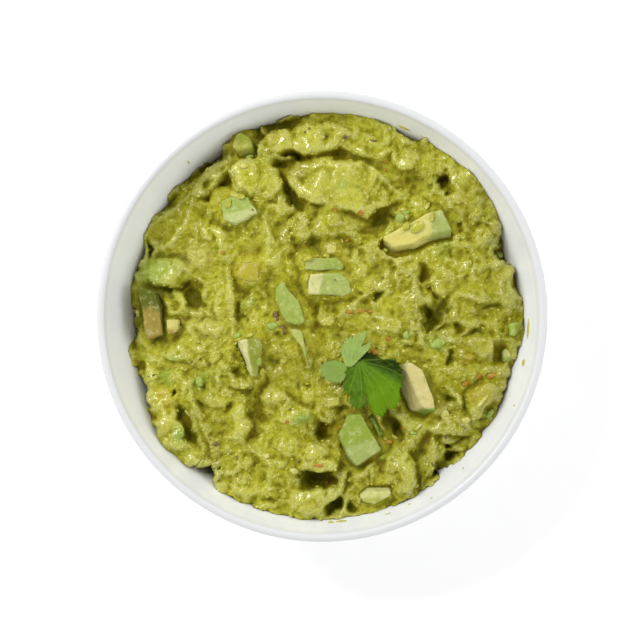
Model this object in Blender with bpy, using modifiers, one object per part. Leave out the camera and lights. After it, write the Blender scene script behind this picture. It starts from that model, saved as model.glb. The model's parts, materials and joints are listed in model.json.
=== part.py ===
"""Guacamole in its round white bowl, with avocado chunks and a coriander leaf on top.

The bowl stands on its foot ring at z = 0, with its axis on Z. The guacamole fills it from the
floor to a folded, uneven surface below the rim. The chunks sit in pockets of the guacamole and
the leaf lies in a shallow bed. Every size in this file is in millimetres until MM turns it
into metres.
"""

import math
from collections import namedtuple

import bmesh
import bpy
import numpy as np
from mathutils import Vector, noise

MM = 0.001
GAP = 0.3  # air between two pieces that touch

# Bowl
RIM_RADIUS = 76.0
HEIGHT = 62.0
LIP = 3.1  # wall thickness at the rim
BASE_WALL = 4.4  # wall thickness where the wall meets the foot
FLOOR = 5.5  # height of the inner floor
BELLY = 1.25  # how soon the inner wall turns in below the rim
FULLNESS = 3.6  # how square the inner wall meets the floor
FOOT_RADIUS = 38.5
FOOT_WIDTH = 3.6
FOOT_ROUND = 0.7
RECESS = 2.2  # depth of the hollow under the base
FOOT_FLARE = 3.0  # how far outside the foot the wall's curve ends
PROFILE_POINTS = 12  # along the inside, from the floor's centre to the lip
TURNS = 48  # facets around the bowl

# Guacamole
EDGE_DEPTH = 13.5  # below the rim, at the wall
DOME = 4.8  # how far the middle stands above the edge
CELL = 3.35  # spacing of the surface grid
FOLD_RISE = 1.3  # scales every rise and hollow in FOLDS
LUMP_SIZE = 7.0
LUMP_RISE = 0.8

# Coriander leaf
LEAF_BASE = (12.6, -14.8)  # where the veins meet
LEAF_DEPTH = 8.2  # below the rim, at the veins' meeting point
LEAF_THICKNESS = 0.5
LEAF_FOLD = math.radians(-20)  # direction of the valley along the big lobe's middle vein
LEAF_SLOPE = 0.25
LEAF_SPREAD = 15.0  # distance over which the sides of the valley flatten out
LEAF_RAYS = 76
LEAF_RINGS = 2
TOOTH = 1.1
STALK = 1.6  # smallest distance from the veins' meeting point to the edge

INNER_RADIUS = RIM_RADIUS - LIP
INNER_DEPTH = HEIGHT - FLOOR

# A raised or hollow place in the guacamole: a soft-edged oval, its long side turned from +X.
Fold = namedtuple("Fold", "x y length width turn rise")
FOLDS = (
    Fold(-5, 61, 36, 12, 0, 2.6),
    Fold(17, 57, 14, 9, -15, 1.8),
    Fold(4, 45, 29, 19, -8, 3.0),
    Fold(-22, 48, 17, 19, 15, 3.2),
    Fold(0, 30, 22, 9, 5, 1.6),
    Fold(47, 43, 17, 21, 20, 2.4),
    Fold(28, 54, 10, 9, 0, 1.6),
    Fold(56, 28, 9, 9, 0, 2.0),
    Fold(61, 8, 9, 17, 5, 2.0),
    Fold(50, 14, 14, 9, 30, 1.4),
    Fold(30, 6, 8, 13, -15, 2.0),
    Fold(21, 2, 13, 11, 20, 1.6),
    Fold(-53, 15, 18, 10, 10, 2.4),
    Fold(-50, 4, 9, 11, 0, 1.4),
    Fold(-38, 26, 15, 17, 20, 1.4),
    Fold(-41, -10, 22, 18, 0, 1.4),
    Fold(-52, -38, 10, 22, 35, 2.2),
    Fold(-55, -26, 9, 10, 0, 1.2),
    Fold(-29, -36, 8, 16, -12, 1.8),
    Fold(-30, -58, 19, 11, -25, 1.4),
    Fold(-5, -62, 17, 12, 0, 2.2),
    Fold(-4, -46, 18, 11, -15, 1.8),
    Fold(27, -54, 13, 18, 15, 2.4),
    Fold(45, -38, 17, 9, 30, 1.8),
    Fold(55, -28, 9, 14, -30, 1.8),
    Fold(52, -12, 14, 9, 20, 1.4),
    Fold(-11, 54, 12, 3.4, -8, -4.5),
    Fold(-10, 41, 15, 4.4, -60, -4.5),
    Fold(19, 32, 13, 6, 40, -4.5),
    Fold(31, 43, 11, 9, 0, -3.6),
    Fold(41, 45, 5, 5, 0, -7.0),
    Fold(-7, 21, 8, 6, -20, -4.0),
    Fold(-3, 0, 5, 12, 15, -4.5),
    Fold(38, 3, 7, 15, 0, -6.0),
    Fold(-44, 8, 6, 11, -10, -3.6),
    Fold(-36, 45, 12, 5, 40, -4.5),
    Fold(-43, 55, 22, 9, 40, -4.0),
    Fold(-55, 36, 12, 15, -30, -2.6),
    Fold(1, -39, 6, 6, 0, -6.5),
    Fold(0, -55, 13, 5, -12, -6.0),
    Fold(-21, -33, 8, 15, -10, -2.6),
    Fold(-46, -38, 4.5, 14, 25, -3.4),
    Fold(23, -39, 6, 12, 0, -3.2),
    Fold(41, -29, 7, 5, 20, -3.5),
    Fold(44, -50, 9, 7, 30, -3.0),
    Fold(63, 20, 5, 18, 10, -4.0),
    Fold(62, -14, 6, 20, -12, -3.2),
    Fold(-64, -12, 6, 20, 8, -5.0),
    Fold(-42, -55, 10, 6, -35, -5.0),
)

# A chunk of avocado, cut to the outline of its upper face. Its lower face is the same outline
# moved by `lean`, so that the side away from the lean shows from above. `slope` is the upper
# face's rise along X and Y, and `proud` its height over the guacamole.
Chunk = namedtuple("Chunk", "outline depth lean slope proud flesh")
CHUNKS = (
    Chunk(((20.5, 27), (36, 35.4), (40.8, 36.6), (44.8, 29.2), (37, 27.8), (31.5, 25), (24.5, 23.6)),
          8.5, (-0.5, -4.0), (0.02, 0.08), 1.8, "cream"),
    Chunk(((-34.7, 39.5), (-33.5, 33), (-29.6, 31.4), (-21.6, 35.2), (-25, 41), (-32.5, 40.6)),
          8.5, (0.5, -1.6), (0.08, 0.12), 2.2, "green"),
    Chunk(((-6.2, 18.4), (-4.4, 20.2), (5.4, 19.8), (7.6, 17.2), (6.6, 15.4), (-5.8, 15.4)),
          6.0, (0.2, 0.5), (-0.04, 0.08), 1.5, "green"),
    Chunk(((-4.8, 11.8), (-3.8, 14.6), (6.6, 14.8), (9.6, 11.9), (10.8, 7.8), (8, 6.7), (-4.6, 7.5)),
          7.5, (-1.0, -0.4), (-0.03, 0.06), 1.7, "green"),
    Chunk(((-13.4, 12.2), (-16, 9.4), (-15.8, 5), (-12.6, -2.2), (-7.4, -3), (-5.6, -1.8), (-7.6, 5)),
          8.0, (0.8, -0.4), (0.16, 0.04), 2.2, "green"),
    Chunk(((-11.4, -4.2), (-7, -4.6), (-6.2, -5.8), (-4.4, -17.8), (-7.4, -9.8), (-10.6, -6.8)),
          6.0, (0.8, 0.3), (0.04, 0.02), 1.4, "cream"),
    Chunk(((-28.2, -8), (-21.3, -7), (-19.4, -10), (-20.6, -15.2), (-21.4, -20), (-23, -21.2)),
          8.5, (-3.0, -0.3), (-0.1, 0.02), 2.6, "cream"),
    Chunk(((-63.2, 10.6), (-57, 8.2), (-55.6, 3.8), (-54.6, -6.6), (-60.4, -8.2), (-61.9, 0.8)),
          9.0, (1.0, -0.5), (0.0, 0.12), 1.6, "olive"),
    Chunk(((-53.6, -1), (-49, -1), (-49.4, -5.2), (-52.8, -6.6)),
          6.0, (0.4, 0.0), (0.0, 0.06), 0.8, "olive"),
    Chunk(((27.8, -15.8), (30.4, -15.1), (34.5, -17.9), (38.6, -28.4), (39.2, -32.4), (34.2, -30.8)),
          8.5, (-4.6, -2.4), (0.06, 0.02), 3.0, "cream"),
    Chunk(((8.8, -33.2), (13.4, -32.8), (20.8, -45.3), (12, -51.2), (8.9, -47.5), (5.7, -40.4)),
          8.0, (-1.4, -0.6), (0.02, 0.1), 2.4, "green"),
    Chunk(((15.9, -34.2), (17.2, -34.4), (20.2, -40.4), (19.4, -41.4)),
          4.5, (0.6, 0.3), (0.0, 0.0), 0.8, "green"),
    Chunk(((-30.8, 58.5), (-30, 62.2), (-28, 63.2), (-24.5, 61.5), (-23.8, 57.5), (-29.5, 56.8)),
          5.0, (1.6, -3.0), (0.05, -0.05), 2.0, "olive"),
    Chunk(((-28.7, 18.5), (-21.6, 18.8), (-21.3, 12), (-25.8, 11.5), (-29, 13.9)),
          5.0, (0.0, 0.0), (0.0, 0.0), 0.6, "cream"),
    Chunk(((0.9, 24), (3, 25.4), (5.1, 24.4), (4.8, 21.2), (1.4, 21.2)),
          4.0, (0.0, 0.0), (0.0, 0.0), 0.7, "cream"),
    Chunk(((64, -2.5), (67.8, -1.5), (68.2, -4), (66.5, -7), (64, -7)),
          4.0, (-1.4, 0.0), (0.05, 0.0), 1.6, "green"),
    Chunk(((62.9, -10.6), (65, -12.4), (64.8, -14.6), (62.2, -16), (61.8, -12)),
          4.0, (-1.2, 0.0), (0.05, 0.0), 1.6, "green"),
    Chunk(((12.6, -62), (16.2, -59.8), (23.9, -59.8), (23.6, -61.8), (17.8, -64.4), (14.1, -64.2)),
          4.5, (-0.6, 2.2), (0.0, 0.05), 1.4, "cream"),
)
CHUNK_ROUND = 0.5

# A lobe of the leaf's outline, seen from where the veins meet.
Lobe = namedtuple("Lobe", "direction reach spread")
LOBES = (
    Lobe(8, 12.5, 26),
    Lobe(-20, 15.6, 26),
    Lobe(-48, 17.6, 26),
    Lobe(-74, 18.2, 24),
    Lobe(-98, 16.4, 24),
    Lobe(-120, 11.5, 18),
    Lobe(-153, 13.2, 17),
    Lobe(-172, 12.2, 14),
    Lobe(142, 7.6, 26),
    Lobe(112, 9.2, 26),
    Lobe(75, 10.6, 17),
    Lobe(50, 7.4, 15),
)

COLOURS = {
    "bowl": ((238, 238, 233), 0.18),
    "guacamole": ((165, 162, 66), 0.38),
    "cream": ((212, 204, 132), 0.42),
    "green": ((166, 184, 88), 0.42),
    "olive": ((158, 150, 66), 0.45),
    "leaf": ((92, 132, 30), 0.40),
}


def clear_scene():
    for obj in list(bpy.data.objects):
        bpy.data.objects.remove(obj, do_unlink=True)


def new_collection(name):
    collection = bpy.data.collections.new(name)
    bpy.context.scene.collection.children.link(collection)
    return collection


def material(name, kind):
    """A Principled material in the colour and roughness that COLOURS gives this kind."""
    (red, green, blue), roughness = COLOURS[kind]
    linear = [(part / 255) ** 2.2 for part in (red, green, blue)]
    made = bpy.data.materials.new(name)
    made.use_nodes = True
    shader = made.node_tree.nodes["Principled BSDF"]
    shader.inputs["Base Color"].default_value = (*linear, 1)
    shader.inputs["Roughness"].default_value = roughness
    shader.inputs["Metallic"].default_value = 0.0
    return made


def object_from(bm, name, collection):
    """Turns a bmesh in millimetres into an object in metres."""
    bmesh.ops.scale(bm, vec=(MM, MM, MM), verts=bm.verts)
    mesh = bpy.data.meshes.new(name)
    bm.to_mesh(mesh)
    bm.free()
    obj = bpy.data.objects.new(name, mesh)
    collection.objects.link(obj)
    return obj


def as_cutter(obj):
    obj.hide_render = True
    obj.display_type = "WIRE"
    return obj


def inner_radius(depth):
    """Radius of the bowl's inside at this depth below the rim."""
    share = min(max(depth / INNER_DEPTH, 0.0), 1.0)
    return INNER_RADIUS * (1 - share**BELLY) ** (1 / FULLNESS)


def resampled(points, count):
    """The same curve as `count` points, evenly spaced along it."""
    points = np.array(points)
    run = np.concatenate([[0], np.cumsum(np.hypot(*np.diff(points, axis=0).T))])
    marks = np.linspace(0, run[-1], count)
    return np.column_stack([np.interp(marks, run, points[:, i]) for i in (0, 1)])


def inner_curve():
    """Close-set points (radius, z) up the inside, from the floor's centre to the lip."""
    share = np.linspace(1, 0, 400)
    depths = LIP / 2 + (INNER_DEPTH - LIP / 2) * (1 - (1 - share) ** 3)
    curve = np.array([(inner_radius(depth), HEIGHT - depth) for depth in depths])
    curve[0, 0] = 0
    return curve


def offset(points, distance):
    """The curve moved by `distance` to its right, which is outward on the way up the inside."""
    along = np.gradient(points, axis=0)
    along /= np.hypot(*along.T)[:, None]
    outward = np.column_stack([along[:, 1], -along[:, 0]])
    return points + outward * np.reshape(distance, (-1, 1))


def arc(centre, radius, start, stop, count):
    """Points on an arc, angles in degrees."""
    angles = np.radians(np.linspace(start, stop, count))
    return [(centre[0] + radius * math.cos(a), centre[1] + radius * math.sin(a)) for a in angles]


def turned(name, profile, collection):
    """A solid of revolution about Z, from a profile in the XZ plane."""
    bm = bmesh.new()
    verts = [bm.verts.new((radius, 0, z)) for radius, z in profile]
    for start, stop in zip(verts, verts[1:]):
        bm.edges.new((start, stop))
    obj = object_from(bm, name, collection)
    screw = obj.modifiers.new("Turn", "SCREW")
    screw.axis = "Z"
    screw.steps = TURNS
    screw.render_steps = TURNS
    screw.use_merge_vertices = True
    screw.merge_threshold = 0.00005
    screw.use_smooth_shade = True
    return obj


def bowl_profile():
    """The bowl's section: up the inside, over the lip, down the outside, round the foot."""
    curve = inner_curve()
    half_lip = LIP / 2
    inside = resampled(curve, PROFILE_POINTS)
    lip = arc((RIM_RADIUS - half_lip, HEIGHT - half_lip), half_lip, 180, 0, 7)
    outside = offset(curve, np.linspace(BASE_WALL, LIP, len(curve)))[::-1]
    outside = outside[outside[:, 0] > FOOT_RADIUS + FOOT_FLARE]
    outside[0] = lip[-1]
    outside = resampled(outside, 7)[1:]
    foot_top = outside[-1][1]
    foot_inner = FOOT_RADIUS - FOOT_WIDTH
    foot = [(FOOT_RADIUS + FOOT_FLARE / 3, foot_top - 1.2), (FOOT_RADIUS, foot_top - 2.4)]
    foot += arc((FOOT_RADIUS - FOOT_ROUND, FOOT_ROUND), FOOT_ROUND, 0, -90, 3)
    foot += arc((foot_inner + FOOT_ROUND, FOOT_ROUND), FOOT_ROUND, -90, -180, 3)
    foot += [(foot_inner - 1.2, RECESS), (0, RECESS)]
    return [tuple(point) for point in (*inside[:-1], *lip, *outside, *foot)]


def make_bowl(collection):
    bowl = turned("bowl", bowl_profile(), collection)
    bowl.data.materials.append(material("White glaze", "bowl"))
    return bowl


def fold_height(fold, x, y):
    """The fold's share of the surface: flat in the middle, steep at its oval edge."""
    turn = math.radians(fold.turn)
    along = (x - fold.x) * math.cos(turn) + (y - fold.y) * math.sin(turn)
    across = (y - fold.y) * math.cos(turn) - (x - fold.x) * math.sin(turn)
    reach = math.hypot(2 * along / fold.length, 2 * across / fold.width)
    return FOLD_RISE * fold.rise / (1 + reach**4)


def leaf_height(x, y):
    """Height of the leaf's middle surface, a soft valley along its fold line."""
    away_x = x - LEAF_BASE[0]
    away_y = y - LEAF_BASE[1]
    along = away_x * math.cos(LEAF_FOLD) + away_y * math.sin(LEAF_FOLD)
    across = abs(away_y * math.cos(LEAF_FOLD) - away_x * math.sin(LEAF_FOLD))
    side = LEAF_SLOPE * across / (1 + across / LEAF_SPREAD)
    return HEIGHT - LEAF_DEPTH + side + 0.09 * max(along, 0)


def guacamole_height(x, y):
    """Height of the guacamole: a low dome, its folds and hollows, small lumps, the leaf's bed."""
    middle = 1 - min(math.hypot(x, y) / INNER_RADIUS, 1) ** 2
    height = HEIGHT - EDGE_DEPTH + DOME * middle
    height += sum(fold_height(fold, x, y) for fold in FOLDS)
    height += LUMP_RISE * noise.noise(Vector((x, y, 0)) / LUMP_SIZE)
    away = math.hypot(x - LEAF_BASE[0] - 1, y - LEAF_BASE[1] + 5)
    if away < 22:
        height = min(height, leaf_height(x, y) - LEAF_THICKNESS / 2 - 2 * GAP)
    return height


def make_guacamole(collection, cutters, pockets):
    """The surface grid thickened downwards, cut to the bowl's inside and to the chunks."""
    cells = 2 * round(INNER_RADIUS / CELL)
    bm = bmesh.new()
    bmesh.ops.create_grid(bm, x_segments=cells, y_segments=cells, size=cells * CELL / 2)
    top = list(bm.faces)
    solid = bmesh.ops.extrude_face_region(bm, geom=top)
    lifted = [item for item in solid["geom"] if isinstance(item, bmesh.types.BMVert)]
    for vert in bm.verts:
        vert.co.z = -4
    for vert in lifted:
        vert.co.z = guacamole_height(vert.co.x, vert.co.y)
    bmesh.ops.recalc_face_normals(bm, faces=bm.faces)
    guacamole = object_from(bm, "guacamole", collection)
    guacamole.data.materials.append(material("Guacamole", "guacamole"))
    guacamole.data.shade_smooth()

    core = offset(resampled(inner_curve(), PROFILE_POINTS), -GAP)[::-1]
    core[-1, 0] = 0
    profile = [(0, HEIGHT), (core[0, 0], HEIGHT), *(tuple(point) for point in core)]
    inside = as_cutter(turned("bowl_inside", profile, cutters))
    fill = guacamole.modifiers.new("Fill the bowl", "BOOLEAN")
    fill.operation = "INTERSECT"
    fill.object = inside
    cut = guacamole.modifiers.new("Chunk pockets", "BOOLEAN")
    cut.operation = "DIFFERENCE"
    cut.operand_type = "COLLECTION"
    cut.collection = pockets
    return guacamole


def chunk_block(name, chunk, grow, collection):
    """The chunk's outline lofted down to its lower face, every side moved out by `grow`."""
    middle = Vector([sum(axis) / len(chunk.outline) for axis in zip(*chunk.outline)])
    level = guacamole_height(*middle) + chunk.proud
    bm = bmesh.new()
    lower = []
    upper = []
    for x, y in chunk.outline:
        rise = (x - middle.x) * chunk.slope[0] + (y - middle.y) * chunk.slope[1]
        upper.append(bm.verts.new((x, y, level + rise)))
        lower.append(bm.verts.new((x + chunk.lean[0], y + chunk.lean[1], level - chunk.depth)))
    bm.faces.new(upper)
    bm.faces.new(lower[::-1])
    for corner in range(len(upper)):
        after = (corner + 1) % len(upper)
        bm.faces.new((lower[corner], lower[after], upper[after], upper[corner]))
    bmesh.ops.recalc_face_normals(bm, faces=bm.faces)
    bm.normal_update()
    moves = [vert.normal * vert.calc_shell_factor() * grow for vert in bm.verts]
    for vert, move in zip(bm.verts, moves):
        vert.co += move
    return object_from(bm, name, collection)


def make_chunks(collection, pockets):
    for number, chunk in enumerate(CHUNKS, 1):
        obj = chunk_block(f"avocado_chunk_{number}", chunk, 0, collection)
        obj.data.materials.append(material(f"Avocado {number}", chunk.flesh))
        bevel = obj.modifiers.new("Soft edges", "BEVEL")
        bevel.width = CHUNK_ROUND * MM
        bevel.segments = 1
        bevel.limit_method = "NONE"
        obj.data.shade_smooth()
        as_cutter(chunk_block(f"pocket_{number}", chunk, GAP, pockets))


def leaf_reach(angle):
    """Distance from the veins' meeting point to the leaf's edge, teeth included."""
    reach = STALK
    for lobe in LOBES:
        apart = (math.degrees(angle) - lobe.direction + 180) % 360 - 180
        if abs(apart) < lobe.spread:
            curve = math.sqrt(1 - (apart / lobe.spread) ** 2)
            reach = max(reach, lobe.reach * curve**0.5)
    tooth = abs(math.sin(angle * LEAF_RAYS / 4))
    return reach - TOOTH * tooth if reach > 3 * TOOTH else reach


def make_leaf(collection):
    """Rings of points around the veins' meeting point, out to the lobed edge, thickened."""
    bm = bmesh.new()
    centre = bm.verts.new((*LEAF_BASE, leaf_height(*LEAF_BASE)))
    rings = []
    for ring in range(1, LEAF_RINGS + 1):
        points = []
        for ray in range(LEAF_RAYS):
            angle = 2 * math.pi * ray / LEAF_RAYS
            reach = leaf_reach(angle) * ring / LEAF_RINGS
            x = LEAF_BASE[0] + reach * math.cos(angle)
            y = LEAF_BASE[1] + reach * math.sin(angle)
            points.append(bm.verts.new((x, y, leaf_height(x, y))))
        rings.append(points)
    for ray in range(LEAF_RAYS):
        after = (ray + 1) % LEAF_RAYS
        bm.faces.new((centre, rings[0][ray], rings[0][after]))
        for inner, outer in zip(rings, rings[1:]):
            bm.faces.new((inner[ray], outer[ray], outer[after], inner[after]))
    leaf = object_from(bm, "coriander_leaf", collection)
    leaf.data.materials.append(material("Coriander", "leaf"))
    leaf.data.shade_smooth()
    shell = leaf.modifiers.new("Thickness", "SOLIDIFY")
    shell.thickness = LEAF_THICKNESS * MM
    shell.offset = 0
    return leaf


def main():
    clear_scene()
    parts = new_collection("guacamole_bowl")
    cutters = new_collection("cutters")
    pockets = bpy.data.collections.new("pockets")
    cutters.children.link(pockets)
    make_bowl(parts)
    make_chunks(parts, pockets)
    make_guacamole(parts, cutters, pockets)
    make_leaf(parts)


main()
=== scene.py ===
# %% [markdown]
# # Guacamole in its round white bowl
# The imported CAD part gives the bowl, the dip, eighteen avocado pieces and a coriander leaf, in
# metres. Here each of them gets its final surface, and the toppings that are too small for CAD
# are added. First the part is loaded and its box is kept.

import json
import math
from collections import namedtuple

import bmesh
import bpy
import numpy as np
from mathutils import Matrix, Vector
from mathutils.bvhtree import BVHTree


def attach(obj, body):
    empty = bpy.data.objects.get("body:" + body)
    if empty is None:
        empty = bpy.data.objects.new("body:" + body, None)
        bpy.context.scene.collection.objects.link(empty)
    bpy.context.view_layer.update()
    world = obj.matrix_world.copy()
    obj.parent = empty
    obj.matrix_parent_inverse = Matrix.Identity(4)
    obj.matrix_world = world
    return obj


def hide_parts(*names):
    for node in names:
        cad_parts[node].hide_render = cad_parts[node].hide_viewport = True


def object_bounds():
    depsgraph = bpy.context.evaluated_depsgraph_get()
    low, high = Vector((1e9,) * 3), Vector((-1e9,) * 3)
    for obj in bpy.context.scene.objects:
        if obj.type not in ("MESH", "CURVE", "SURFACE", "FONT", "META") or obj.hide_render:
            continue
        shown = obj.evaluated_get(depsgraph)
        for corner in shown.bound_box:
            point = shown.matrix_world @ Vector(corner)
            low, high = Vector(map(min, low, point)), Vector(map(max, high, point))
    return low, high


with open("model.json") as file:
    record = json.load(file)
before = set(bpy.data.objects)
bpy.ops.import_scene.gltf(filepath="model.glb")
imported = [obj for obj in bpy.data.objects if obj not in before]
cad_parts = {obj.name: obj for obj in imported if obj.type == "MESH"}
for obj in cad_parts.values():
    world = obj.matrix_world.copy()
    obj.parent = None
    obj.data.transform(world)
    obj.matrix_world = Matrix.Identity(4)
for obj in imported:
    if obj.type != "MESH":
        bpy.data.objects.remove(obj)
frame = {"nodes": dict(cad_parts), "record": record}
cad_box = [list(corner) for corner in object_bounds()]
MM = 0.001
print("CAD box in mm:", [[round(value / MM, 1) for value in corner] for corner in cad_box])

# %% [markdown]
# ## Camera
# The bowl is seen from straight above, very slightly from its right. A long lens from 0.65 m
# keeps the rim and the food at almost the same scale.

# %% Camera
RIM_HEIGHT = cad_box[1][2]
VIEW_DISTANCE = 0.65
VIEW_LEAN = math.radians(2.6)
VIEW_SHIFT = (-0.0002, -0.0013)
FRAME_WIDTH = 0.2149
SENSOR = 36.0


def make_camera():
    data = bpy.data.cameras.new("camera")
    data.sensor_width = SENSOR
    data.lens = SENSOR * VIEW_DISTANCE / FRAME_WIDTH
    camera = bpy.data.objects.new("camera", data)
    bpy.context.scene.collection.objects.link(camera)
    back = Vector((math.sin(VIEW_LEAN), 0, math.cos(VIEW_LEAN)))
    right = Vector((math.cos(VIEW_LEAN), 0, -math.sin(VIEW_LEAN)))
    up = back.cross(right)
    turn = Matrix((right, up, back)).transposed().to_4x4()
    aim = Vector((*VIEW_SHIFT, RIM_HEIGHT))
    camera.matrix_world = Matrix.Translation(aim + back * VIEW_DISTANCE) @ turn
    bpy.context.scene.camera = camera


make_camera()
print("lens", round(bpy.context.scene.camera.data.lens, 1), "mm")

# %% [markdown]
# ## Light
# A large soft lamp at the upper left gives each fold a bright side and a soft shadow. A bright
# room and a weak low lamp on the right fill the shadows. The small lamp beside the large one
# only puts sparkle on the wet surface. The Standard view keeps white china white.

# %% Light
scene = bpy.context.scene
scene.view_settings.view_transform = "Standard"
ROOM_STOPS = ((0.0, 0.62), (0.12, 0.66), (0.42, 1.08), (0.72, 0.75), (0.88, 0.35), (1.0, 0.06))
ROOM_LIGHT = 1.18


def soft_lamp(name, place, size, power):
    data = bpy.data.lights.new(name, "AREA")
    data.shape = "DISK"
    data.size = size
    data.energy = power
    lamp = bpy.data.objects.new(name, data)
    bpy.context.scene.collection.objects.link(lamp)
    lamp.location = place
    lamp.rotation_euler = (-Vector(place)).to_track_quat("-Z", "Y").to_euler()


def make_room(strength):
    """A light tent: bright round the sides, dark straight overhead where the camera hangs."""
    world = bpy.data.worlds.new("room")
    world.use_nodes = True
    tree = world.node_tree
    way = tree.nodes.new("ShaderNodeTexCoord")
    split = tree.nodes.new("ShaderNodeSeparateXYZ")
    ramp = tree.nodes.new("ShaderNodeValToRGB")
    while len(ramp.color_ramp.elements) < len(ROOM_STOPS):
        ramp.color_ramp.elements.new(0.5)
    for element, (place, light) in zip(ramp.color_ramp.elements, ROOM_STOPS):
        element.position = place
        element.color = (light, light, light, 1)
    tree.links.new(way.outputs["Generated"], split.inputs[0])
    tree.links.new(split.outputs["Z"], ramp.inputs[0])
    background = tree.nodes["Background"]
    tree.links.new(ramp.outputs["Color"], background.inputs["Color"])
    background.inputs["Strength"].default_value = strength
    bpy.context.scene.world = world


make_room(ROOM_LIGHT)
soft_lamp("key", (-0.62, 0.56, 0.85), 0.40, 5.3)
soft_lamp("sparkle", (-0.36, 0.36, 0.95), 0.08, 1.8)
soft_lamp("fill", (0.80, -0.10, 0.42), 0.60, 1.5)

# %% [markdown]
# ## Shader maths
# `Wire` wraps an output socket, so that `1 - mask * 0.5` adds the Math nodes by itself.
# `Paint` opens a Principled material and adds any other node from one method.


# %% Shader helpers
class Wire:
    def __init__(self, paint, socket):
        self.paint = paint
        self.socket = socket

    def math(self, operation, *values):
        return self.paint.node("ShaderNodeMath", {"operation": operation}, dict(enumerate(values)))

    def __add__(self, other):
        return self.math("ADD", self, other)

    def __sub__(self, other):
        return self.math("SUBTRACT", self, other)

    def __rsub__(self, other):
        return self.math("SUBTRACT", other, self)

    def __mul__(self, other):
        return self.math("MULTIPLY", self, other)

    __radd__ = __add__
    __rmul__ = __mul__

    def above(self, low, high):
        """0 below `low`, 1 over `high`, soft between."""
        ends = {"Value": self, "From Min": low, "From Max": high}
        return self.paint.node("ShaderNodeMapRange", {"interpolation_type": "SMOOTHSTEP"}, ends)


class Paint:
    def __init__(self, name):
        self.material = bpy.data.materials.new(name)
        self.material.use_nodes = True
        self.tree = self.material.node_tree
        self.shader = self.tree.nodes["Principled BSDF"]
        self.place = self.node("ShaderNodeTexCoord", {}, {}, "Object")

    def node(self, kind, settings, values, output=0):
        made = self.tree.nodes.new(kind)
        for name, value in settings.items():
            setattr(made, name, value)
        for name, value in values.items():
            self.put(made.inputs[name], value)
        return Wire(self, made.outputs[output])

    def put(self, socket, value):
        if isinstance(value, Wire):
            self.tree.links.new(value.socket, socket)
        elif hasattr(value, "__len__") and len(value) == 3 and socket.type == "RGBA":
            socket.default_value = (*value, 1)
        else:
            socket.default_value = value

    def set(self, **values):
        for name, value in values.items():
            self.put(self.shader.inputs[name.replace("_", " ")], value)

    def speckle(self, size, detail=3, rough=0.5, warp=0.0, place=None):
        """Noise with features about `size` millimetres across, from 0 to 1."""
        values = {
            "Vector": place or self.place,
            "Scale": 1 / (size * MM),
            "Detail": detail,
            "Roughness": rough,
            "Distortion": warp,
        }
        return self.node("ShaderNodeTexNoise", {}, values, "Fac")

    def mix(self, share, first, second):
        """`first` where share is 0 and `second` where it is 1."""
        values = {0: share, 6: first, 7: second}
        return self.node("ShaderNodeMix", {"data_type": "RGBA"}, values, 2)

    def attribute(self, name):
        return self.node("ShaderNodeAttribute", {"attribute_name": name}, {}, "Fac")

    def bump(self, height, depth, strength=1.0, under=None):
        """`height` from 0 to 1 as relief `depth` millimetres deep."""
        values = {"Height": height, "Distance": depth * MM, "Strength": strength}
        if under:
            values["Normal"] = under
        return self.node("ShaderNodeBump", {}, values, "Normal")


# %% [markdown]
# ## Meshes from numbers
# Most pieces are built from arrays of points and faces. They go into the scene with a body to
# ride on, and the CAD node that they stand for, if any, is hidden.


# %% Mesh helpers
def mesh_object(name, points, faces, material):
    """Points in millimetres and a list of faces, as a smooth object in metres."""
    mesh = bpy.data.meshes.new(name)
    mesh.from_pydata(np.asarray(points, float) * MM, [], faces)
    mesh.validate()
    mesh.shade_smooth()
    mesh.materials.append(material)
    obj = bpy.data.objects.new(name, mesh)
    bpy.context.scene.collection.objects.link(obj)
    return obj


def store(obj, name, values):
    attribute = obj.data.attributes.new(name, "FLOAT", "POINT")
    attribute.data.foreach_set("value", np.ascontiguousarray(values, np.float32))


def coordinates(obj, field="co"):
    flat = np.empty(3 * len(obj.data.vertices), np.float32)
    obj.data.vertices.foreach_get(field, flat)
    return flat.reshape(-1, 3).astype(float)


def settle(obj, slot, *nodes):
    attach(obj, "root")
    if nodes:
        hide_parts(*nodes)
    obj.data.calc_loop_triangles()
    print(obj.name, len(obj.data.loop_triangles), "triangles")
    return obj


def applied(obj):
    """The object's evaluated mesh in place of its modifiers."""
    graph = bpy.context.evaluated_depsgraph_get()
    mesh = bpy.data.meshes.new_from_object(obj.evaluated_get(graph))
    obj.modifiers.clear()
    obj.data = mesh
    return obj


# %% [markdown]
# ## Floor
# A plain matt white table, bright enough that the bowl's shadow on it stays faint.

# %% Floor
REACH = 2000
table = Paint("white table")
table_grain = table.speckle(6, 2)
table.set(Base_Color=table.mix(table_grain, (0.88, 0.88, 0.88), (0.92, 0.92, 0.92)))
table.set(Roughness=0.9, Emission_Color=(1, 1, 1), Emission_Strength=0.24)
floor = mesh_object(
    "floor", [(-REACH, -REACH, 0), (REACH, -REACH, 0), (REACH, REACH, 0), (-REACH, REACH, 0)],
    [(0, 1, 2, 3)], table.material,
)
print("floor", [round(side) for side in floor.dimensions], "m")

# %% [markdown]
# ## Bowl
# A thrown or pressed china bowl is a round shape, so its section is drawn once and turned
# about the axis. The section repeats the CAD part's: up the inside, over the lip, down the
# outside and round the foot ring, with far more points. The Screw modifier turns it.

# %% Bowl section
RIM_RADIUS = 76.0
HEIGHT = 62.0
LIP = 3.1
BASE_WALL = 4.4
FLOOR = 5.5
BELLY = 1.25
FULLNESS = 3.6
FOOT_RADIUS = 38.5
FOOT_WIDTH = 3.6
FOOT_ROUND = 0.7
RECESS = 2.2
FOOT_FLARE = 3.0
INNER_RADIUS = RIM_RADIUS - LIP
INNER_DEPTH = HEIGHT - FLOOR
BOWL_TURNS = 168


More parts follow.
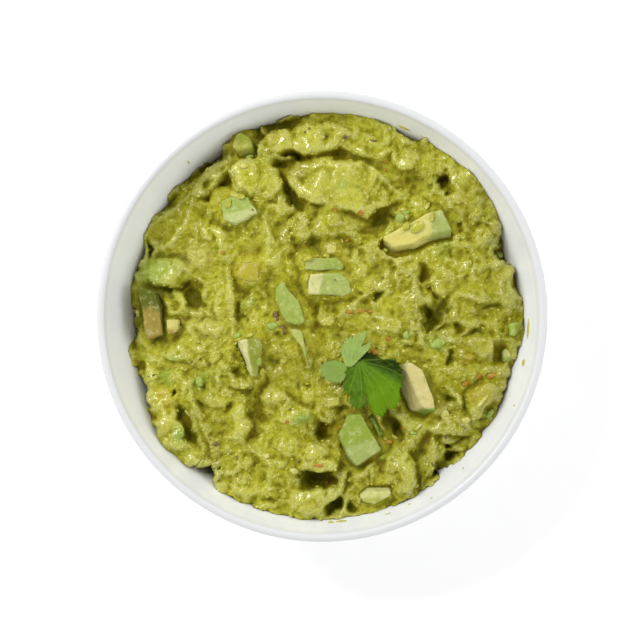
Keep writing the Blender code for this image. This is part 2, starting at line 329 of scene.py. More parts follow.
def inner_radius(depth):
    """Radius of the bowl's inside at this depth below the rim, in millimetres."""
    share = np.clip(np.asarray(depth, float) / INNER_DEPTH, 0, 1)
    return INNER_RADIUS * (1 - share**BELLY) ** (1 / FULLNESS)


def resampled(points, count):
    points = np.array(points)
    run = np.concatenate([[0], np.cumsum(np.hypot(*np.diff(points, axis=0).T))])
    marks = np.linspace(0, run[-1], count)
    return np.column_stack([np.interp(marks, run, points[:, i]) for i in (0, 1)])


def offset(points, distance):
    along = np.gradient(points, axis=0)
    along /= np.hypot(*along.T)[:, None]
    outward = np.column_stack([along[:, 1], -along[:, 0]])
    return points + outward * np.reshape(distance, (-1, 1))


def arc(centre, radius, start, stop, count):
    angles = np.radians(np.linspace(start, stop, count))
    return [(centre[0] + radius * math.cos(a), centre[1] + radius * math.sin(a)) for a in angles]


def bowl_section():
    share = np.linspace(1, 0, 600)
    depths = LIP / 2 + (INNER_DEPTH - LIP / 2) * (1 - (1 - share) ** 3)
    curve = np.column_stack([inner_radius(depths), HEIGHT - depths])
    curve[0, 0] = 0
    half_lip = LIP / 2
    inside = resampled(curve, 46)
    lip = arc((RIM_RADIUS - half_lip, HEIGHT - half_lip), half_lip, 180, 0, 15)
    outside = offset(curve, np.linspace(BASE_WALL, LIP, len(curve)))[::-1]
    outside = outside[outside[:, 0] > FOOT_RADIUS + FOOT_FLARE]
    outside[0] = lip[-1]
    outside = resampled(outside, 34)[1:]
    foot_top = outside[-1][1]
    foot_inner = FOOT_RADIUS - FOOT_WIDTH
    neck = [(FOOT_RADIUS + 1.7, foot_top - 0.6), (FOOT_RADIUS + 0.8, foot_top - 1.2)]
    neck += [(FOOT_RADIUS + 0.25, foot_top - 1.8), (FOOT_RADIUS, foot_top - 2.4)]
    foot = arc((FOOT_RADIUS - FOOT_ROUND, FOOT_ROUND), FOOT_ROUND, 0, -90, 5)
    foot += arc((foot_inner + FOOT_ROUND, FOOT_ROUND), FOOT_ROUND, -90, -180, 5)
    hollow = [(foot_inner - 0.3, RECESS - 0.5), (foot_inner - 1.2, RECESS), (0, RECESS)]
    return [tuple(p) for p in (*inside[:-1], *lip, *outside, *neck, *foot, *hollow)]


section = bowl_section()
print("bowl section:", len(section), "points")

# %% [markdown]
# The glaze is white. The lip and the outside are painted greyer, a painted shade that tones down
# the light they catch. It pools a little, so its tone and its surface waver on a scale of
# centimetres, with fine pinprick unevenness. The foot ring's standing edge has no glaze and is matt.


# %% Glaze
GLAZE_FROM, GLAZE_FULL = 0.3, 0.8
LIP_FROM, LIP_FULL = 60.2, 61.4


def glaze_paint():
    paint = Paint("white glaze")
    height = paint.node("ShaderNodeSeparateXYZ", {}, {0: paint.place}, "Z")
    pooled = paint.speckle(26, 2)
    fine = paint.speckle(1.1, 2)
    glazed = height.above(GLAZE_FROM * MM, GLAZE_FULL * MM)
    white = paint.mix(pooled, (0.905, 0.922, 0.962), (0.925, 0.940, 0.980))
    lip = height.above(LIP_FROM * MM, LIP_FULL * MM)
    # Painted shade: the outside and the lip are greyer, which tones down the light they catch.
    white = paint.mix(paint.attribute("outside"), white, (0.620, 0.628, 0.636))
    white = paint.mix(lip, white, (0.655, 0.663, 0.668))
    paint.set(Base_Color=paint.mix(glazed, (0.72, 0.70, 0.65), white))
    paint.set(Roughness=0.62 - glazed * 0.44 + fine * 0.05 + lip * 0.25)
    wave = paint.bump(pooled, 0.35, 0.5)
    paint.set(Normal=paint.bump(fine, 0.02, 0.4, under=wave))
    paint.set(Coat_Weight=0.25 - lip * 0.2, Coat_Roughness=0.06, IOR=1.50)
    return paint.material


def make_bowl():
    mesh = bpy.data.meshes.new("white_bowl")
    verts = [(radius * MM, 0, z * MM) for radius, z in section]
    mesh.from_pydata(verts, [(i, i + 1) for i in range(len(verts) - 1)], [])
    obj = bpy.data.objects.new("white_bowl", mesh)
    bpy.context.scene.collection.objects.link(obj)
    screw = obj.modifiers.new("turn", "SCREW")
    screw.axis = "Z"
    screw.steps = BOWL_TURNS
    screw.render_steps = BOWL_TURNS
    screw.use_merge_vertices = True
    screw.merge_threshold = 0.00001
    screw.use_smooth_shade = True
    applied(obj)
    obj.data.materials.append(glaze_paint())
    x, y, z = coordinates(obj).T / MM
    beyond = np.hypot(x, y) - inner_radius(HEIGHT - z)
    store(obj, "outside", (beyond > 1.0) | (z < FLOOR - 0.5))
    return settle(obj, "bowl_glaze", "bowl")


make_bowl()

# %% [markdown]
# ## Guacamole surface
# Mashed avocado that a spoon has turned over: soft mounds that stop at steep edges, thin
# ridges, holes and dark gaps, all covered in small lumps. A height for each place in the bowl
# describes it well. It is worked out on a fine square raster in this order: the fill level,
# which is lower at parts of the wall, then the mounds, hollows, ridges and torn edges in their
# places, then layers of lumps and grain. The coordinates are bent by noise first, so no edge is
# a plain oval.

# %% Raster and noise
STEP = 0.36
HALF = 73.0
NOISE_TABLE = 1024
LUMP_TABLE = 64
axis = np.arange(-HALF, HALF + STEP, STEP)
X, Y = np.meshgrid(axis, axis)


def gradient_noise(x, y, size, seed):
    """Smooth noise from about -1 to 1, with features `size` across."""
    rng = np.random.default_rng(seed)
    turns = rng.uniform(0, 2 * np.pi, NOISE_TABLE)
    order = rng.permutation(NOISE_TABLE)
    u, v = x / size, y / size
    i, j = np.floor(u).astype(int), np.floor(v).astype(int)
    f, g = u - i, v - j
    fade_f = f * f * f * (f * (f * 6 - 15) + 10)
    fade_g = g * g * g * (g * (g * 6 - 15) + 10)
    corners = []
    for step_i, step_j in ((0, 0), (1, 0), (0, 1), (1, 1)):
        row = order[(j + step_j) % NOISE_TABLE]
        turn = turns[order[(i + step_i + row) % NOISE_TABLE]]
        corners.append(np.cos(turn) * (f - step_i) + np.sin(turn) * (g - step_j))
    low = corners[0] + fade_f * (corners[1] - corners[0])
    high = corners[2] + fade_f * (corners[3] - corners[2])
    return 1.5 * (low + fade_g * (high - low))


def lumps(x, y, size, seed):
    """Overlapping rounded lumps about `size` across: the highest dome wins at each place."""
    rng = np.random.default_rng(seed)
    table = rng.uniform(-1, 1, (4, LUMP_TABLE, LUMP_TABLE))
    i, j = np.floor(x / size).astype(int), np.floor(y / size).astype(int)
    best = np.full(x.shape, -9.0)
    for step_i in (-1, 0, 1):
        for step_j in (-1, 0, 1):
            cell = np.s_[:, (i + step_i) % LUMP_TABLE, (j + step_j) % LUMP_TABLE]
            jump_x, jump_y, rise, shape = table[cell]
            away_x = x / size - (i + step_i + 0.5 + 0.42 * jump_x)
            away_y = y / size - (j + step_j + 0.5 + 0.42 * jump_y)
            turn = np.pi * shape
            along = away_x * np.cos(turn) + away_y * np.sin(turn)
            across = away_y * np.cos(turn) - away_x * np.sin(turn)
            reach = (along * 0.85) ** 2 + (across * 1.35) ** 2
            best = np.maximum(best, 0.45 * rise - 1.6 * reach)
    return best


def blurred(raster, radius):
    """The raster smoothed over `radius` millimetres."""
    reach = max(1, int(2.5 * radius / STEP))
    taps = np.exp(-0.5 * (np.arange(-reach, reach + 1) * STEP / radius) ** 2)
    taps /= taps.sum()
    padded = np.pad(raster, reach, mode="edge")
    rows = sum(tap * padded[k:k + len(raster), :] for k, tap in enumerate(taps))
    return sum(tap * rows[:, k:k + raster.shape[1]] for k, tap in enumerate(taps))


warp_x = 1.5 * gradient_noise(X, Y, 9, 1) + 0.7 * gradient_noise(X, Y, 3.6, 2)
warp_y = 1.5 * gradient_noise(X, Y, 9, 3) + 0.7 * gradient_noise(X, Y, 3.6, 4)
warp_x += 0.3 * gradient_noise(X, Y, 1.5, 5)
warp_y += 0.3 * gradient_noise(X, Y, 1.5, 6)
BENT_X, BENT_Y = X + warp_x, Y + warp_y
print("raster", X.shape, "of", STEP, "mm")

# %% [markdown]
# The large shapes. A mound is an oval with a steep edge. It can be tilted, so that it rises
# out of the mass on one side and breaks off on the other, as a turned-over spoonful does.
# Each row gives its place, its size and turn, how high it stands, and which way it rises.

# %% Mounds
Mound = namedtuple("Mound", "x y length width turn rise high tilt")
MOUNDS = (
    Mound(-5.4, 61.5, 34, 12, 0, 3.4, -90, 0.5),
    Mound(17.6, 57.4, 14, 9, -15, 2.2, -60, 0.4),
    Mound(3.6, 44.6, 29, 20, -8, 3.8, -60, 0.35),
    Mound(-21.9, 47.9, 17, 19, 15, 4.0, 200, 0.35),
    Mound(0.2, 30.3, 21, 9, 5, 2.0, -80, 0.4),
    Mound(47.5, 42.8, 17, 20, 20, 2.6, -45, 0.4),
    Mound(27.7, 53.7, 10, 9, 0, 2.0, -45, 0.3),
    Mound(34.6, 61.2, 3.6, 5.5, 0, 2.4, 0, 0.0),
    Mound(55.6, 28.6, 9, 8, 0, 2.4, -45, 0.4),
    Mound(63.1, 8.2, 8, 15, 5, 2.6, -90, 0.3),
    Mound(39.6, 8.8, 6, 7, 0, 2.0, -90, 0.5),
    Mound(48, 16, 15, 9, 20, 1.6, -70, 0.5),
    Mound(30.8, 5.4, 7, 11, -15, 2.6, 0, 0.4),
    Mound(22.3, 10.9, 8, 8, 30, 1.8, -30, 0.4),
    Mound(1.2, -0.3, 7, 6, 0, 1.6, -60, 0.4),
    Mound(20.6, -2.7, 12, 8, 10, 1.6, -60, 0.3),
    Mound(-52.8, 15, 17, 9, 10, 2.6, -80, 0.4),
    Mound(-42, -9.9, 22, 17, 0, 1.8, -70, 0.4),
    Mound(-55.6, -28.6, 9, 10, 0, 1.8, -80, 0.4),
    Mound(-51.5, -40.1, 8, 17, 32, 2.6, -60, 0.3),
    Mound(-28.4, -36.7, 7, 14, -12, 2.4, 0, 0.4),
    Mound(-31, -58, 17, 10, -25, 1.8, -60, 0.4),
    Mound(-5.2, -63.2, 15, 11, 0, 2.6, -90, 0.3),
    Mound(-3.2, -47.3, 17, 11, -15, 2.4, -70, 0.5),
    Mound(26.7, -54.1, 11, 17, 15, 3.0, -20, 0.4),
    Mound(44.1, -37.7, 15, 7, 30, 2.2, -60, 0.4),
    Mound(54.6, -28.2, 8, 13, -30, 2.2, -30, 0.3),
    Mound(55, -10, 11, 6, -20, 1.8, -70, 0.4),
    Mound(-39, 27, 13, 14, 20, 1.6, -60, 0.3),
    Mound(-17, 22, 9, 14, 10, 1.4, 0, 0.3),
    Mound(14, 19, 9, 12, -30, 1.4, -45, 0.4),
    Mound(-17, -27, 11, 9, 15, 1.6, -60, 0.4),
    Mound(-11, -34, 8, 8, 0, 1.4, -60, 0.4),
    Mound(31, -2, 7, 7, 0, 1.4, -45, 0.4),
)
print(len(MOUNDS), "mounds")

# %% [markdown]
# A hollow is an oval that goes down: the dark holes and gaps between the mounds. The ovals are
# bent by a stronger noise than the mounds, so their edges look torn.

# %% Hollows
Hollow = namedtuple("Hollow", "x y length width turn depth")
HOLLOWS = (
    Hollow(41.3, 45.4, 4.6, 4.6, 0, 8),
    Hollow(-10.3, 55.1, 9, 2.2, -8, 4.2),
    Hollow(-14.4, 51.5, 5, 2.4, -10, 4),
    Hollow(-10, 41.5, 13, 3.0, -60, 2.4),
    Hollow(6, 55.4, 5, 3, 0, 1.8),
    Hollow(19.2, 32.3, 12, 5.5, 40, 3.6),
    Hollow(30.5, 42.8, 11, 8, 0, 2.6),
    Hollow(-7.3, 20.6, 7, 5.5, -20, 4.8),
    Hollow(-4.2, -0.3, 3.6, 11, 15, 4.6),
    Hollow(38.3, 2.7, 6.5, 14, 0, 6.0),
    Hollow(33.9, 14.6, 3.6, 6, 0, 4.2),
    Hollow(47.5, -4.1, 5, 2.8, 60, 2.8),
    Hollow(43.9, -13.4, 2.4, 5, 0, 2.4),
    Hollow(-44.3, 7.8, 5.5, 9, -10, 4.2),
    Hollow(1, -39.1, 5.4, 5.4, 0, 7),
    Hollow(-0.5, -56.1, 13, 4.6, -12, 6.5),
    Hollow(23.3, -38.8, 5, 12, 0, 3.4),
    Hollow(41, -29.2, 6, 4, 20, 3.4),
    Hollow(34.6, -43.5, 5, 9, -20, 3.0),
    Hollow(-21.4, -33, 6, 13, -10, 2.6),
    Hollow(-46.2, -38, 4, 13, 25, 3.6),
    Hollow(-36, 44, 10, 4, 42, 4.6),
    Hollow(-43, 54, 20, 9, 42, 3.6),
    Hollow(-54, 36, 10, 14, -30, 2.4),
    Hollow(-65.2, 3, 4.0, 20, 0, 8.0),
    Hollow(-62.2, -26, 4.0, 17, 14, 7.0),
    Hollow(-65.5, 21, 4, 8, -15, 6.0),
    Hollow(-41.5, -54.2, 9, 5, 10, 11),
    Hollow(-34.5, 57, 15, 3.2, 42, 6),
    Hollow(-22.3, 62.5, 3, 7, 20, 5),
    Hollow(10.5, -65.8, 3.4, 3, 0, 7),
    Hollow(39.2, -53.4, 3, 2.4, 30, 6),
    Hollow(44, -48.3, 4, 2, 0, 5),
    Hollow(43, -45.4, 1.8, 2, 0, 4),
    Hollow(-51.8, -26, 1.6, 2.2, 0, 3),
    Hollow(47.3, 31, 2, 2.4, 0, 4),
    Hollow(-60.2, 23, 1.8, 4, 0, 5),
    Hollow(18.5, 6.7, 3, 2.4, 0, 3),
    Hollow(13.5, 9, 3, 2, 0, 2.4),
    Hollow(-28, -18, 3.4, 4, 0, 3.5),
    Hollow(22.5, -38, 6, 12, -15, 3),
    Hollow(4, -66, 3, 5, -20, 5),
    Hollow(64.8, 21, 4.5, 22, 16, 9),
    Hollow(65.0, -20, 3.4, 18, -18, 7),
    Hollow(42.2, -50.7, 7, 4.5, 40, 3.6),
    Hollow(29, 63, 9, 3.4, -25, 4.2),
    Hollow(-14, 65.5, 10, 4, 12, 4.2),
)
print(len(HOLLOWS), "hollows")

# %% [markdown]
# A ridge follows a line of points and is sharp along its crest, as where two folds meet.

# %% Ridges
Ridge = namedtuple("Ridge", "points width rise")
RIDGES = (
    Ridge(((46.1, 7), (51, 6.2), (57.7, 3.7)), 1.6, 1.6),
    Ridge(((5.6, 0), (11, 3.4), (16.4, 8.5)), 1.7, 1.8),
    Ridge(((-32.8, 19.5), (-31.6, 12), (-30.8, 4), (-29.7, -5.6)), 1.5, 1.8),
    Ridge(((-44.7, -23.6), (-41.6, -34.3), (-39.4, -39.4), (-36.9, -46.9)), 1.6, 2.0),
    Ridge(((-45, 39.5), (-38, 43.8), (-31.8, 50.5)), 1.8, 3.0),
    Ridge(((14.5, 52), (22, 46), (29.8, 39.1)), 1.6, 2.0),
    Ridge(((43.7, -25.4), (47.5, -27.5), (49.2, -32.6)), 1.6, 1.8),
    Ridge(((-54.2, 7.6), (-53.6, 2.6), (-50.4, 0.8), (-47.6, 3.4), (-48.2, 8.6)), 1.5, 2.4),
    Ridge(((-62, 29), (-57, 33), (-51, 37), (-46, 42)), 1.3, 1.8),
    Ridge(((-58, 22), (-52, 25), (-47, 31), (-45, 38)), 1.2, 1.6),
    Ridge(((-19, 33), (-17.5, 28), (-19, 22)), 1.4, 1.2),
    Ridge(((22, 22), (26, 18), (29, 12)), 1.5, 1.6),
    Ridge(((52, 20), (58, 17), (62, 18)), 1.3, 1.3),
    Ridge(((40, -8), (46, -9), (52, -6)), 1.4, 1.4),
    Ridge(((-24, -46), (-18, -50), (-12, -52)), 1.5, 1.4),
    Ridge(((-38, -20), (-33, -24), (-30, -29)), 1.4, 1.4),
    Ridge(((9, -56), (14, -54), (18, -49)), 1.5, 1.6),
)


print(len(RIDGES), "ridges")

# %% [markdown]
# A cliff is a torn edge. On the left of its line the mass rises to it, and there it breaks off,
# which gives a fold its bright lip and the shadow under it.

# %% Torn edges
CLIFF_DEPTH = 1.3
Cliff = namedtuple("Cliff", "drop back points")
CLIFFS = (
    Cliff(4.0, 7, ((-26, 55.5), (-28, 53.5), (-31, 51), (-31.3, 48.5), (-31.5, 45), (-32.5, 41.5),
                   (-34.5, 39.8), (-36, 37.5))),
    Cliff(3.5, 5, ((-45, 40.5), (-40, 41.5), (-36, 44), (-31.5, 48.3))),
    Cliff(2.0, 6, ((-35, 34.5), (-35.3, 37), (-37, 39.5), (-41, 40), (-45, 40.3))),
    Cliff(2.2, 7, ((-20, 57), (-15.5, 56), (-12.5, 55.7), (-10.5, 56.2), (-8, 55.5), (-5, 55.2),
                   (0, 55.8), (4, 56.5), (6, 58), (8, 57), (9, 56.5), (12, 55), (15, 54), (18, 53.2))),
    Cliff(2.5, 5, ((-18, 54.2), (-14, 53.4), (-11.5, 53.3), (-9, 53.8))),
    Cliff(3.0, 6, ((-14.5, 67), (-18, 63), (-21, 60), (-22.5, 57), (-23, 55))),
    Cliff(2.8, 6, ((-7.5, 34.3), (-9, 37.5), (-11, 41), (-12.5, 44), (-15, 50), (-17.5, 52.3))),
    Cliff(1.3, 4, ((-21, 41.5), (-19, 39.6), (-16.5, 41.2), (-14, 43.5), (-12.3, 42.6))),
    Cliff(1.8, 6, ((25, 42.5), (22, 46), (18, 50.5), (13, 53), (7, 52.8), (3, 54.8), (-2, 54.6),
                   (-7, 54), (-11, 53))),
    Cliff(4.0, 7, ((-14, 49), (-12.5, 47), (-9.5, 42.5), (-6, 40), (-2.5, 38.5), (3, 38))),
    Cliff(4.0, 6, ((3, 36), (10, 36), (14, 35), (15.5, 33.2), (17, 35), (19.5, 37), (24, 38.5),
                   (27, 40))),
    Cliff(1.8, 5, ((25, 57.5), (23.3, 54), (24, 51.5), (26.5, 50.2), (31, 50.2), (35, 50.5))),
    Cliff(2.4, 4, ((50, 31), (53, 32.3), (56, 31.5), (58, 30), (60, 26.5), (59, 25.5))),
    Cliff(2.4, 6, ((-45, 15), (-47, 17.5), (-50, 19.8), (-60, 19.8))),
    Cliff(2.6, 6, ((-60, 10.5), (-57, 9.8), (-52, 10.3), (-48, 9.8), (-46, 12), (-45.5, 14))),
    Cliff(2.4, 4, ((-49, 2.8), (-47.5, 3.5), (-47, 6), (-48, 8.5), (-51, 10))),
    Cliff(2.4, 5, ((-29.8, -7), (-30, 0), (-30.4, 5), (-30.6, 10), (-30, 14), (-29, 18),
                   (-28.6, 26))),
    Cliff(2.0, 5, ((-55, -13.5), (-53, -15), (-50, -15.6), (-47, -15.5), (-44, -14.5))),
    Cliff(2.5, 6, ((-5, -5), (-7, 1), (-9, 5), (-11, 10), (-11.5, 13))),
    Cliff(2.6, 5, ((-4.3, -17.3), (-7.6, -11), (-9.3, -5.5))),
    Cliff(1.8, 4, ((-2, -2), (-1, -3.5), (2, -3.8), (4.5, -2.5), (5, 0))),
    Cliff(2.6, 6, ((38, -4.6), (39.5, -4.7), (41.7, -3), (42.3, 1), (41.7, 5), (38.2, 6.6),
                   (37, 8.2), (34.5, 11.5))),
    Cliff(2.6, 6, ((34.5, 11), (34.6, 8), (34.2, 5), (36.6, 2), (37.2, -1), (37.6, -4))),
    Cliff(2.2, 7, ((45, 7.5), (48, 6.5), (52, 5.5), (57, 4), (60, 4), (64, 3))),
    Cliff(1.6, 4, ((47, 12), (48.5, 13), (50, 16), (50.5, 21))),
    Cliff(1.6, 4, ((46, 13.5), (44, 16), (40, 19.5))),
    Cliff(2.0, 5, ((27, -10.5), (29, -10), (32, -11), (35, -12))),
    Cliff(2.0, 5, ((43.5, -10), (46, -8), (50, -5.8), (54, -2.8))),
    Cliff(3.2, 7, ((-45.3, -45), (-46.5, -41.5), (-47.3, -38.8), (-49, -36), (-50, -33),
                   (-51.2, -30.5))),
    Cliff(3.0, 5, ((-40.5, -33), (-43, -29.5), (-44.5, -26.5), (-45, -23.5), (-43.5, -21.5))),
    Cliff(1.8, 5, ((-43, -28), (-41, -30), (-38, -30.8), (-34, -31), (-31.5, -30), (-29.5, -28))),
    Cliff(1.8, 3, ((-39, -35.8), (-35, -36.5), (-32, -35.6))),
    Cliff(5.0, 6, ((-47, -53), (-44.5, -52), (-42, -51.8), (-40, -51.6), (-37.5, -50.8))),
    Cliff(4.0, 6, ((-37.5, -51), (-39, -53.5), (-38.6, -56.5), (-36.3, -58))),
    Cliff(1.6, 5, ((-34, -55.4), (-30.5, -54.3), (-28, -52.8), (-26.5, -52.8), (-24, -53.4))),
    Cliff(2.2, 6, ((-27, -44.5), (-25.2, -40), (-24.7, -36), (-25, -32), (-26.6, -29))),
    Cliff(2.6, 5, ((-34, -23), (-30, -25), (-26, -25), (-23, -23.3), (-20.5, -21))),
    Cliff(2.6, 5, ((-17, -21.3), (-20.5, -24.5), (-21.5, -28), (-20.5, -31.5))),
    Cliff(2.2, 6, ((-1.5, -33), (-5.5, -31), (-9.5, -29), (-13, -26.5), (-15.5, -23.5))),
    Cliff(2.8, 5, ((1, -31.6), (4, -30.8), (7, -30.8), (10.5, -31.8))),
    Cliff(4.4, 6, ((-6.5, -53), (-3, -53.3), (2, -53), (4, -52), (5.2, -50.5), (5.2, -48))),
    Cliff(1.3, 4, ((-6.5, -48.3), (-3, -49.2), (0, -48.6), (3.5, -47))),
    Cliff(3.6, 6, ((2, -60), (-1, -58.2), (-4, -57), (-6.5, -55.8))),
    Cliff(3.2, 5, ((7.4, -63), (6.5, -60.5), (8.3, -58.3), (7.8, -55.5), (9, -51.8))),
    Cliff(2.8, 5, ((-0.5, -65.6), (2.5, -63.8), (6, -62))),
    Cliff(1.4, 4, ((-15.8, -44), (-13, -48), (-10, -51.5))),
    Cliff(3.4, 8, ((31, -61), (30.6, -58.6), (32.7, -57.6), (31.8, -54), (32, -50), (30, -47.2),
                   (27.6, -44.8))),
    Cliff(2.8, 5, ((36, -37.6), (38, -40.5), (40, -40.8), (43, -40), (46, -40.2), (48.5, -41.5),
                   (50, -39.5))),
    Cliff(2.4, 4, ((40, -43.2), (43, -44), (45, -43.2), (48, -41.5))),
    Cliff(1.8, 4, ((47, -35), (48.7, -31.5), (48.5, -29), (46.8, -26.5), (43.6, -25))),
    Cliff(2.0, 5, ((59.8, -24), (57, -23), (53, -23.6), (50, -25.5))),
    Cliff(1.4, 4, ((52, -38), (55, -33), (58, -29), (59.5, -25))),
    Cliff(1.3, 3, ((29, -40.4), (32, -38.5), (35, -35.8))),
    Cliff(1.8, 5, ((13.5, -59), (12, -61), (12.4, -64.5))),
    Cliff(2.0, 5, ((26, 18), (24.5, 14), (25.6, 9), (24, 6.5))),
    Cliff(1.5, 5, ((-20, 14), (-16, 11), (-14, 6), (-15, 2))),
    Cliff(1.5, 5, ((-38, 12), (-36, 8), (-37, 3), (-36, -3))),
    Cliff(1.6, 5, ((12, 24), (6, 22.6), (2, 23.5), (-3, 25))),
    Cliff(1.5, 5, ((28, 24), (33, 22.6), (38, 24))),
    Cliff(1.6, 5, ((-40, 31), (-36, 27), (-35.5, 22), (-38, 18))),
    Cliff(1.4, 4, ((-24, -13), (-20, -15.5), (-15, -15), (-12.6, -17))),
    Cliff(1.4, 4, ((-44, -3), (-41, -6.5), (-37, -8), (-33, -7))),
)
print(len(CLIFFS), "torn edges")

# %% [markdown]
# These functions write such shapes into the raster. An oval is worked out in its own turned
# coordinates. For a line, each place of the raster asks how far off the line is, on which side,
# and how far along it the nearest point lies.


# %% Shapes on the raster
def oval(x, y, shape, power):
    """1 inside the oval and 0 outside, with an edge that is steeper for a higher power."""
    turn = math.radians(shape.turn)
    away_x, away_y = x - shape.x, y - shape.y
    along = (away_x * math.cos(turn) + away_y * math.sin(turn)) * 2 / shape.length
    across = (away_y * math.cos(turn) - away_x * math.sin(turn)) * 2 / shape.width
    return 1 / (1 + (along**2 + across**2) ** (power / 2)), along, across


def soft_line(points, step):
    """The points joined by a soft curve, as places about `step` apart."""
    length = np.hypot(*np.diff(np.array(points, float), axis=0).T).sum()
    line = resampled(points, max(8, int(length / step)))
    for _ in range(3):
        line[1:-1] = (line[:-2] + 2 * line[1:-1] + line[2:]) / 4
    return line


def beside(x, y, points):
    """(distance, positive on the left of the line; share of the way along it)."""
    line = soft_line(points, 0.7)
    along = np.gradient(line, axis=0)
    along /= np.hypot(*along.T)[:, None]
    nearest = np.full(x.shape, 1e9)
    side = np.zeros(x.shape)
    share = np.zeros(x.shape)
    for number, (place, way) in enumerate(zip(line, along)):
        off_x, off_y = x - place[0], y - place[1]
        away = off_x**2 + off_y**2
        closer = away < nearest
        nearest = np.where(closer, away, nearest)
        side = np.where(closer, way[0] * off_y - way[1] * off_x, side)
        share = np.where(closer, number / (len(line) - 1), share)
    return np.sqrt(nearest) * np.sign(side), share


def window(points, margin):
    """The part of the raster within `margin` millimetres of the points."""
    low = np.min(points, axis=0) - margin
    high = np.max(points, axis=0) + margin
    (i, j), (k, m) = np.clip(((np.array((low, high)) + HALF) / STEP).astype(int), 0, len(axis))
    return np.s_[j:m, i:k]


def add_ridge(raster, x, y, ridge):
    """Adds a crest along the ridge's points, lower at both ends."""
    part = window(ridge.points, 8)
    side, share = beside(x[part], y[part], ridge.points)
    middle = np.sin(np.pi * np.clip(share, 0.06, 0.94)) ** 0.5
    raster[part] += 1.45 * ridge.rise * middle * np.exp(-((np.abs(side) / ridge.width) ** 1.25))


def add_cliff(raster, x, y, cliff):
    """Adds an edge: the mass on the left of the line rises to it and breaks off."""
    part = window(cliff.points, 3.2 * cliff.back)
    side, share = beside(x[part], y[part], cliff.points)
    ends = np.clip(5 * share, 0, 1) * np.clip(5 * (1 - share), 0, 1)
    soft = 0.62 + 0.3 * gradient_noise(x[part], y[part], 5, 12)
    top = 0.5 + 0.5 * np.tanh(side / soft)
    rolled = 1 - 0.30 * np.exp(-((side / 1.6) ** 2))
    rise = 0.58 * top * rolled * np.exp(-np.maximum(side, 0) / cliff.back)
    fall = 0.60 * (1 - top) * np.exp(-np.maximum(-side, 0) / (0.32 * cliff.back))
    raster[part] += CLIFF_DEPTH * cliff.drop * ends * (rise - fall)


# %% [markdown]
# The fill level at the wall, by compass angle. On the left the dip has sunk away from the wall
# and leaves a dark gap, and at the upper right and lower left it stands high.

# %% Fill level
EDGE_ANGLES = (-180, -144, -120, -90, -60, -45, -25, 0, 25, 45, 70, 90, 117, 135, 155, 180)
EDGE_DEPTHS = (18.5, 12.0, 13.5, 12.5, 14.5, 16.5, 14.5, 14.5, 14, 11.5, 13, 12.5, 13, 17, 17, 18.5)
MIDDLE_DEPTH = 13.5
DOME = 3.4
MOUND_RISE = 1.08


def fill_level(x, y):
    angle = np.degrees(np.arctan2(y, x))
    depth = np.interp(angle, EDGE_ANGLES, EDGE_DEPTHS)
    middle = np.clip(np.hypot(x, y) / INNER_RADIUS, 0, 1)
    return HEIGHT - depth * middle**2 - (MIDDLE_DEPTH - DOME) * (1 - middle**2)


height = fill_level(X, Y)
for mound in MOUNDS:
    inside, along, across = oval(BENT_X, BENT_Y, mound, 7)
    lean = math.radians(mound.high - mound.turn)
    tilt = 1 + mound.tilt * np.clip(along * math.cos(lean) + across * math.sin(lean), -1, 1)
    crown = 1 - 0.34 * np.clip(along**2 + across**2, 0, 1)
    height += MOUND_RISE * mound.rise * inside * tilt * crown
torn_x = X + 1.5 * warp_x + 0.7 * gradient_noise(X, Y, 3.2, 13)
torn_y = Y + 1.5 * warp_y + 0.7 * gradient_noise(X, Y, 3.2, 14)
for hollow in HOLLOWS:
    height -= hollow.depth * oval(torn_x, torn_y, hollow, 4)[0]
LESS_BENT_X, LESS_BENT_Y = X + 0.45 * warp_x, Y + 0.45 * warp_y
for ridge in RIDGES:
    add_ridge(height, LESS_BENT_X, LESS_BENT_Y, ridge)
for cliff in CLIFFS:
    add_cliff(height, LESS_BENT_X, LESS_BENT_Y, cliff)
print("large shapes from", round(height.min(), 1), "to", round(height.max(), 1), "mm")

# %% [markdown]
# Then the lumps, in four sizes, and thin creases from folded noise. They are weaker where the
# surface is smooth, such as on pieces of firm avocado, and stronger on rough mash. The highest
# places are pressed down softly, so that the food stays under the rim.

# %% Lumps and grain
SURFACE_LIFT = 0.6
PRESSED_FROM = 54.0
rough = np.clip(0.62 + 0.55 * gradient_noise(X, Y, 15, 11), 0.18, 1.0)
SMOOTH_PATCHES = (
    Hollow(-52.8, 15, 17, 10, 10, 0.75),
    Hollow(-49, 34, 12, 13, -30, 0.7),
    Hollow(63, 8, 8, 15, 5, 0.7),
    Hollow(55, -10, 10, 6, -20, 0.7),
    Hollow(54.6, -28.2, 8, 12, -30, 0.6),
    Hollow(-42, 53, 18, 9, 42, 0.5),
)
for patch in SMOOTH_PATCHES:
    rough *= 1 - patch.depth * oval(BENT_X, BENT_Y, patch, 6)[0]


def creases(x, y, size, seed):
    return 1 - 2.2 * np.abs(gradient_noise(x, y, size, seed))


flow_x = X + 1.4 * warp_x
flow_y = Y + 1.4 * warp_y
height += 1.4 * lumps(flow_x, flow_y, 8.0, 21) * (0.5 + 0.5 * rough)
height += 0.95 * lumps(flow_x + 3, flow_y, 4.4, 22) * (0.3 + 0.7 * rough)
height += 0.58 * lumps(X + warp_x, Y + warp_y, 2.3, 23) * (0.3 + 0.7 * rough)
height += 0.34 * lumps(X + 0.5 * warp_x, Y + 0.5 * warp_y, 1.35, 24) * (0.2 + 0.8 * rough)
height += 0.26 * creases(flow_x, flow_y, 6.0, 25) * (0.4 + 0.6 * rough)
height += 0.10 * creases(X + warp_x, Y + warp_y, 2.8, 26) * (0.3 + 0.7 * rough)
height += 0.10 * gradient_noise(X, Y, 1.1, 27) * rough
height += SURFACE_LIFT
over = np.maximum(height - PRESSED_FROM, 0)
height = np.where(over > 0, PRESSED_FROM + (height - PRESSED_FROM) / (1 + over / 5), height)
print("with lumps from", round(height.min(), 1), "to", round(height.max(), 1), "mm")

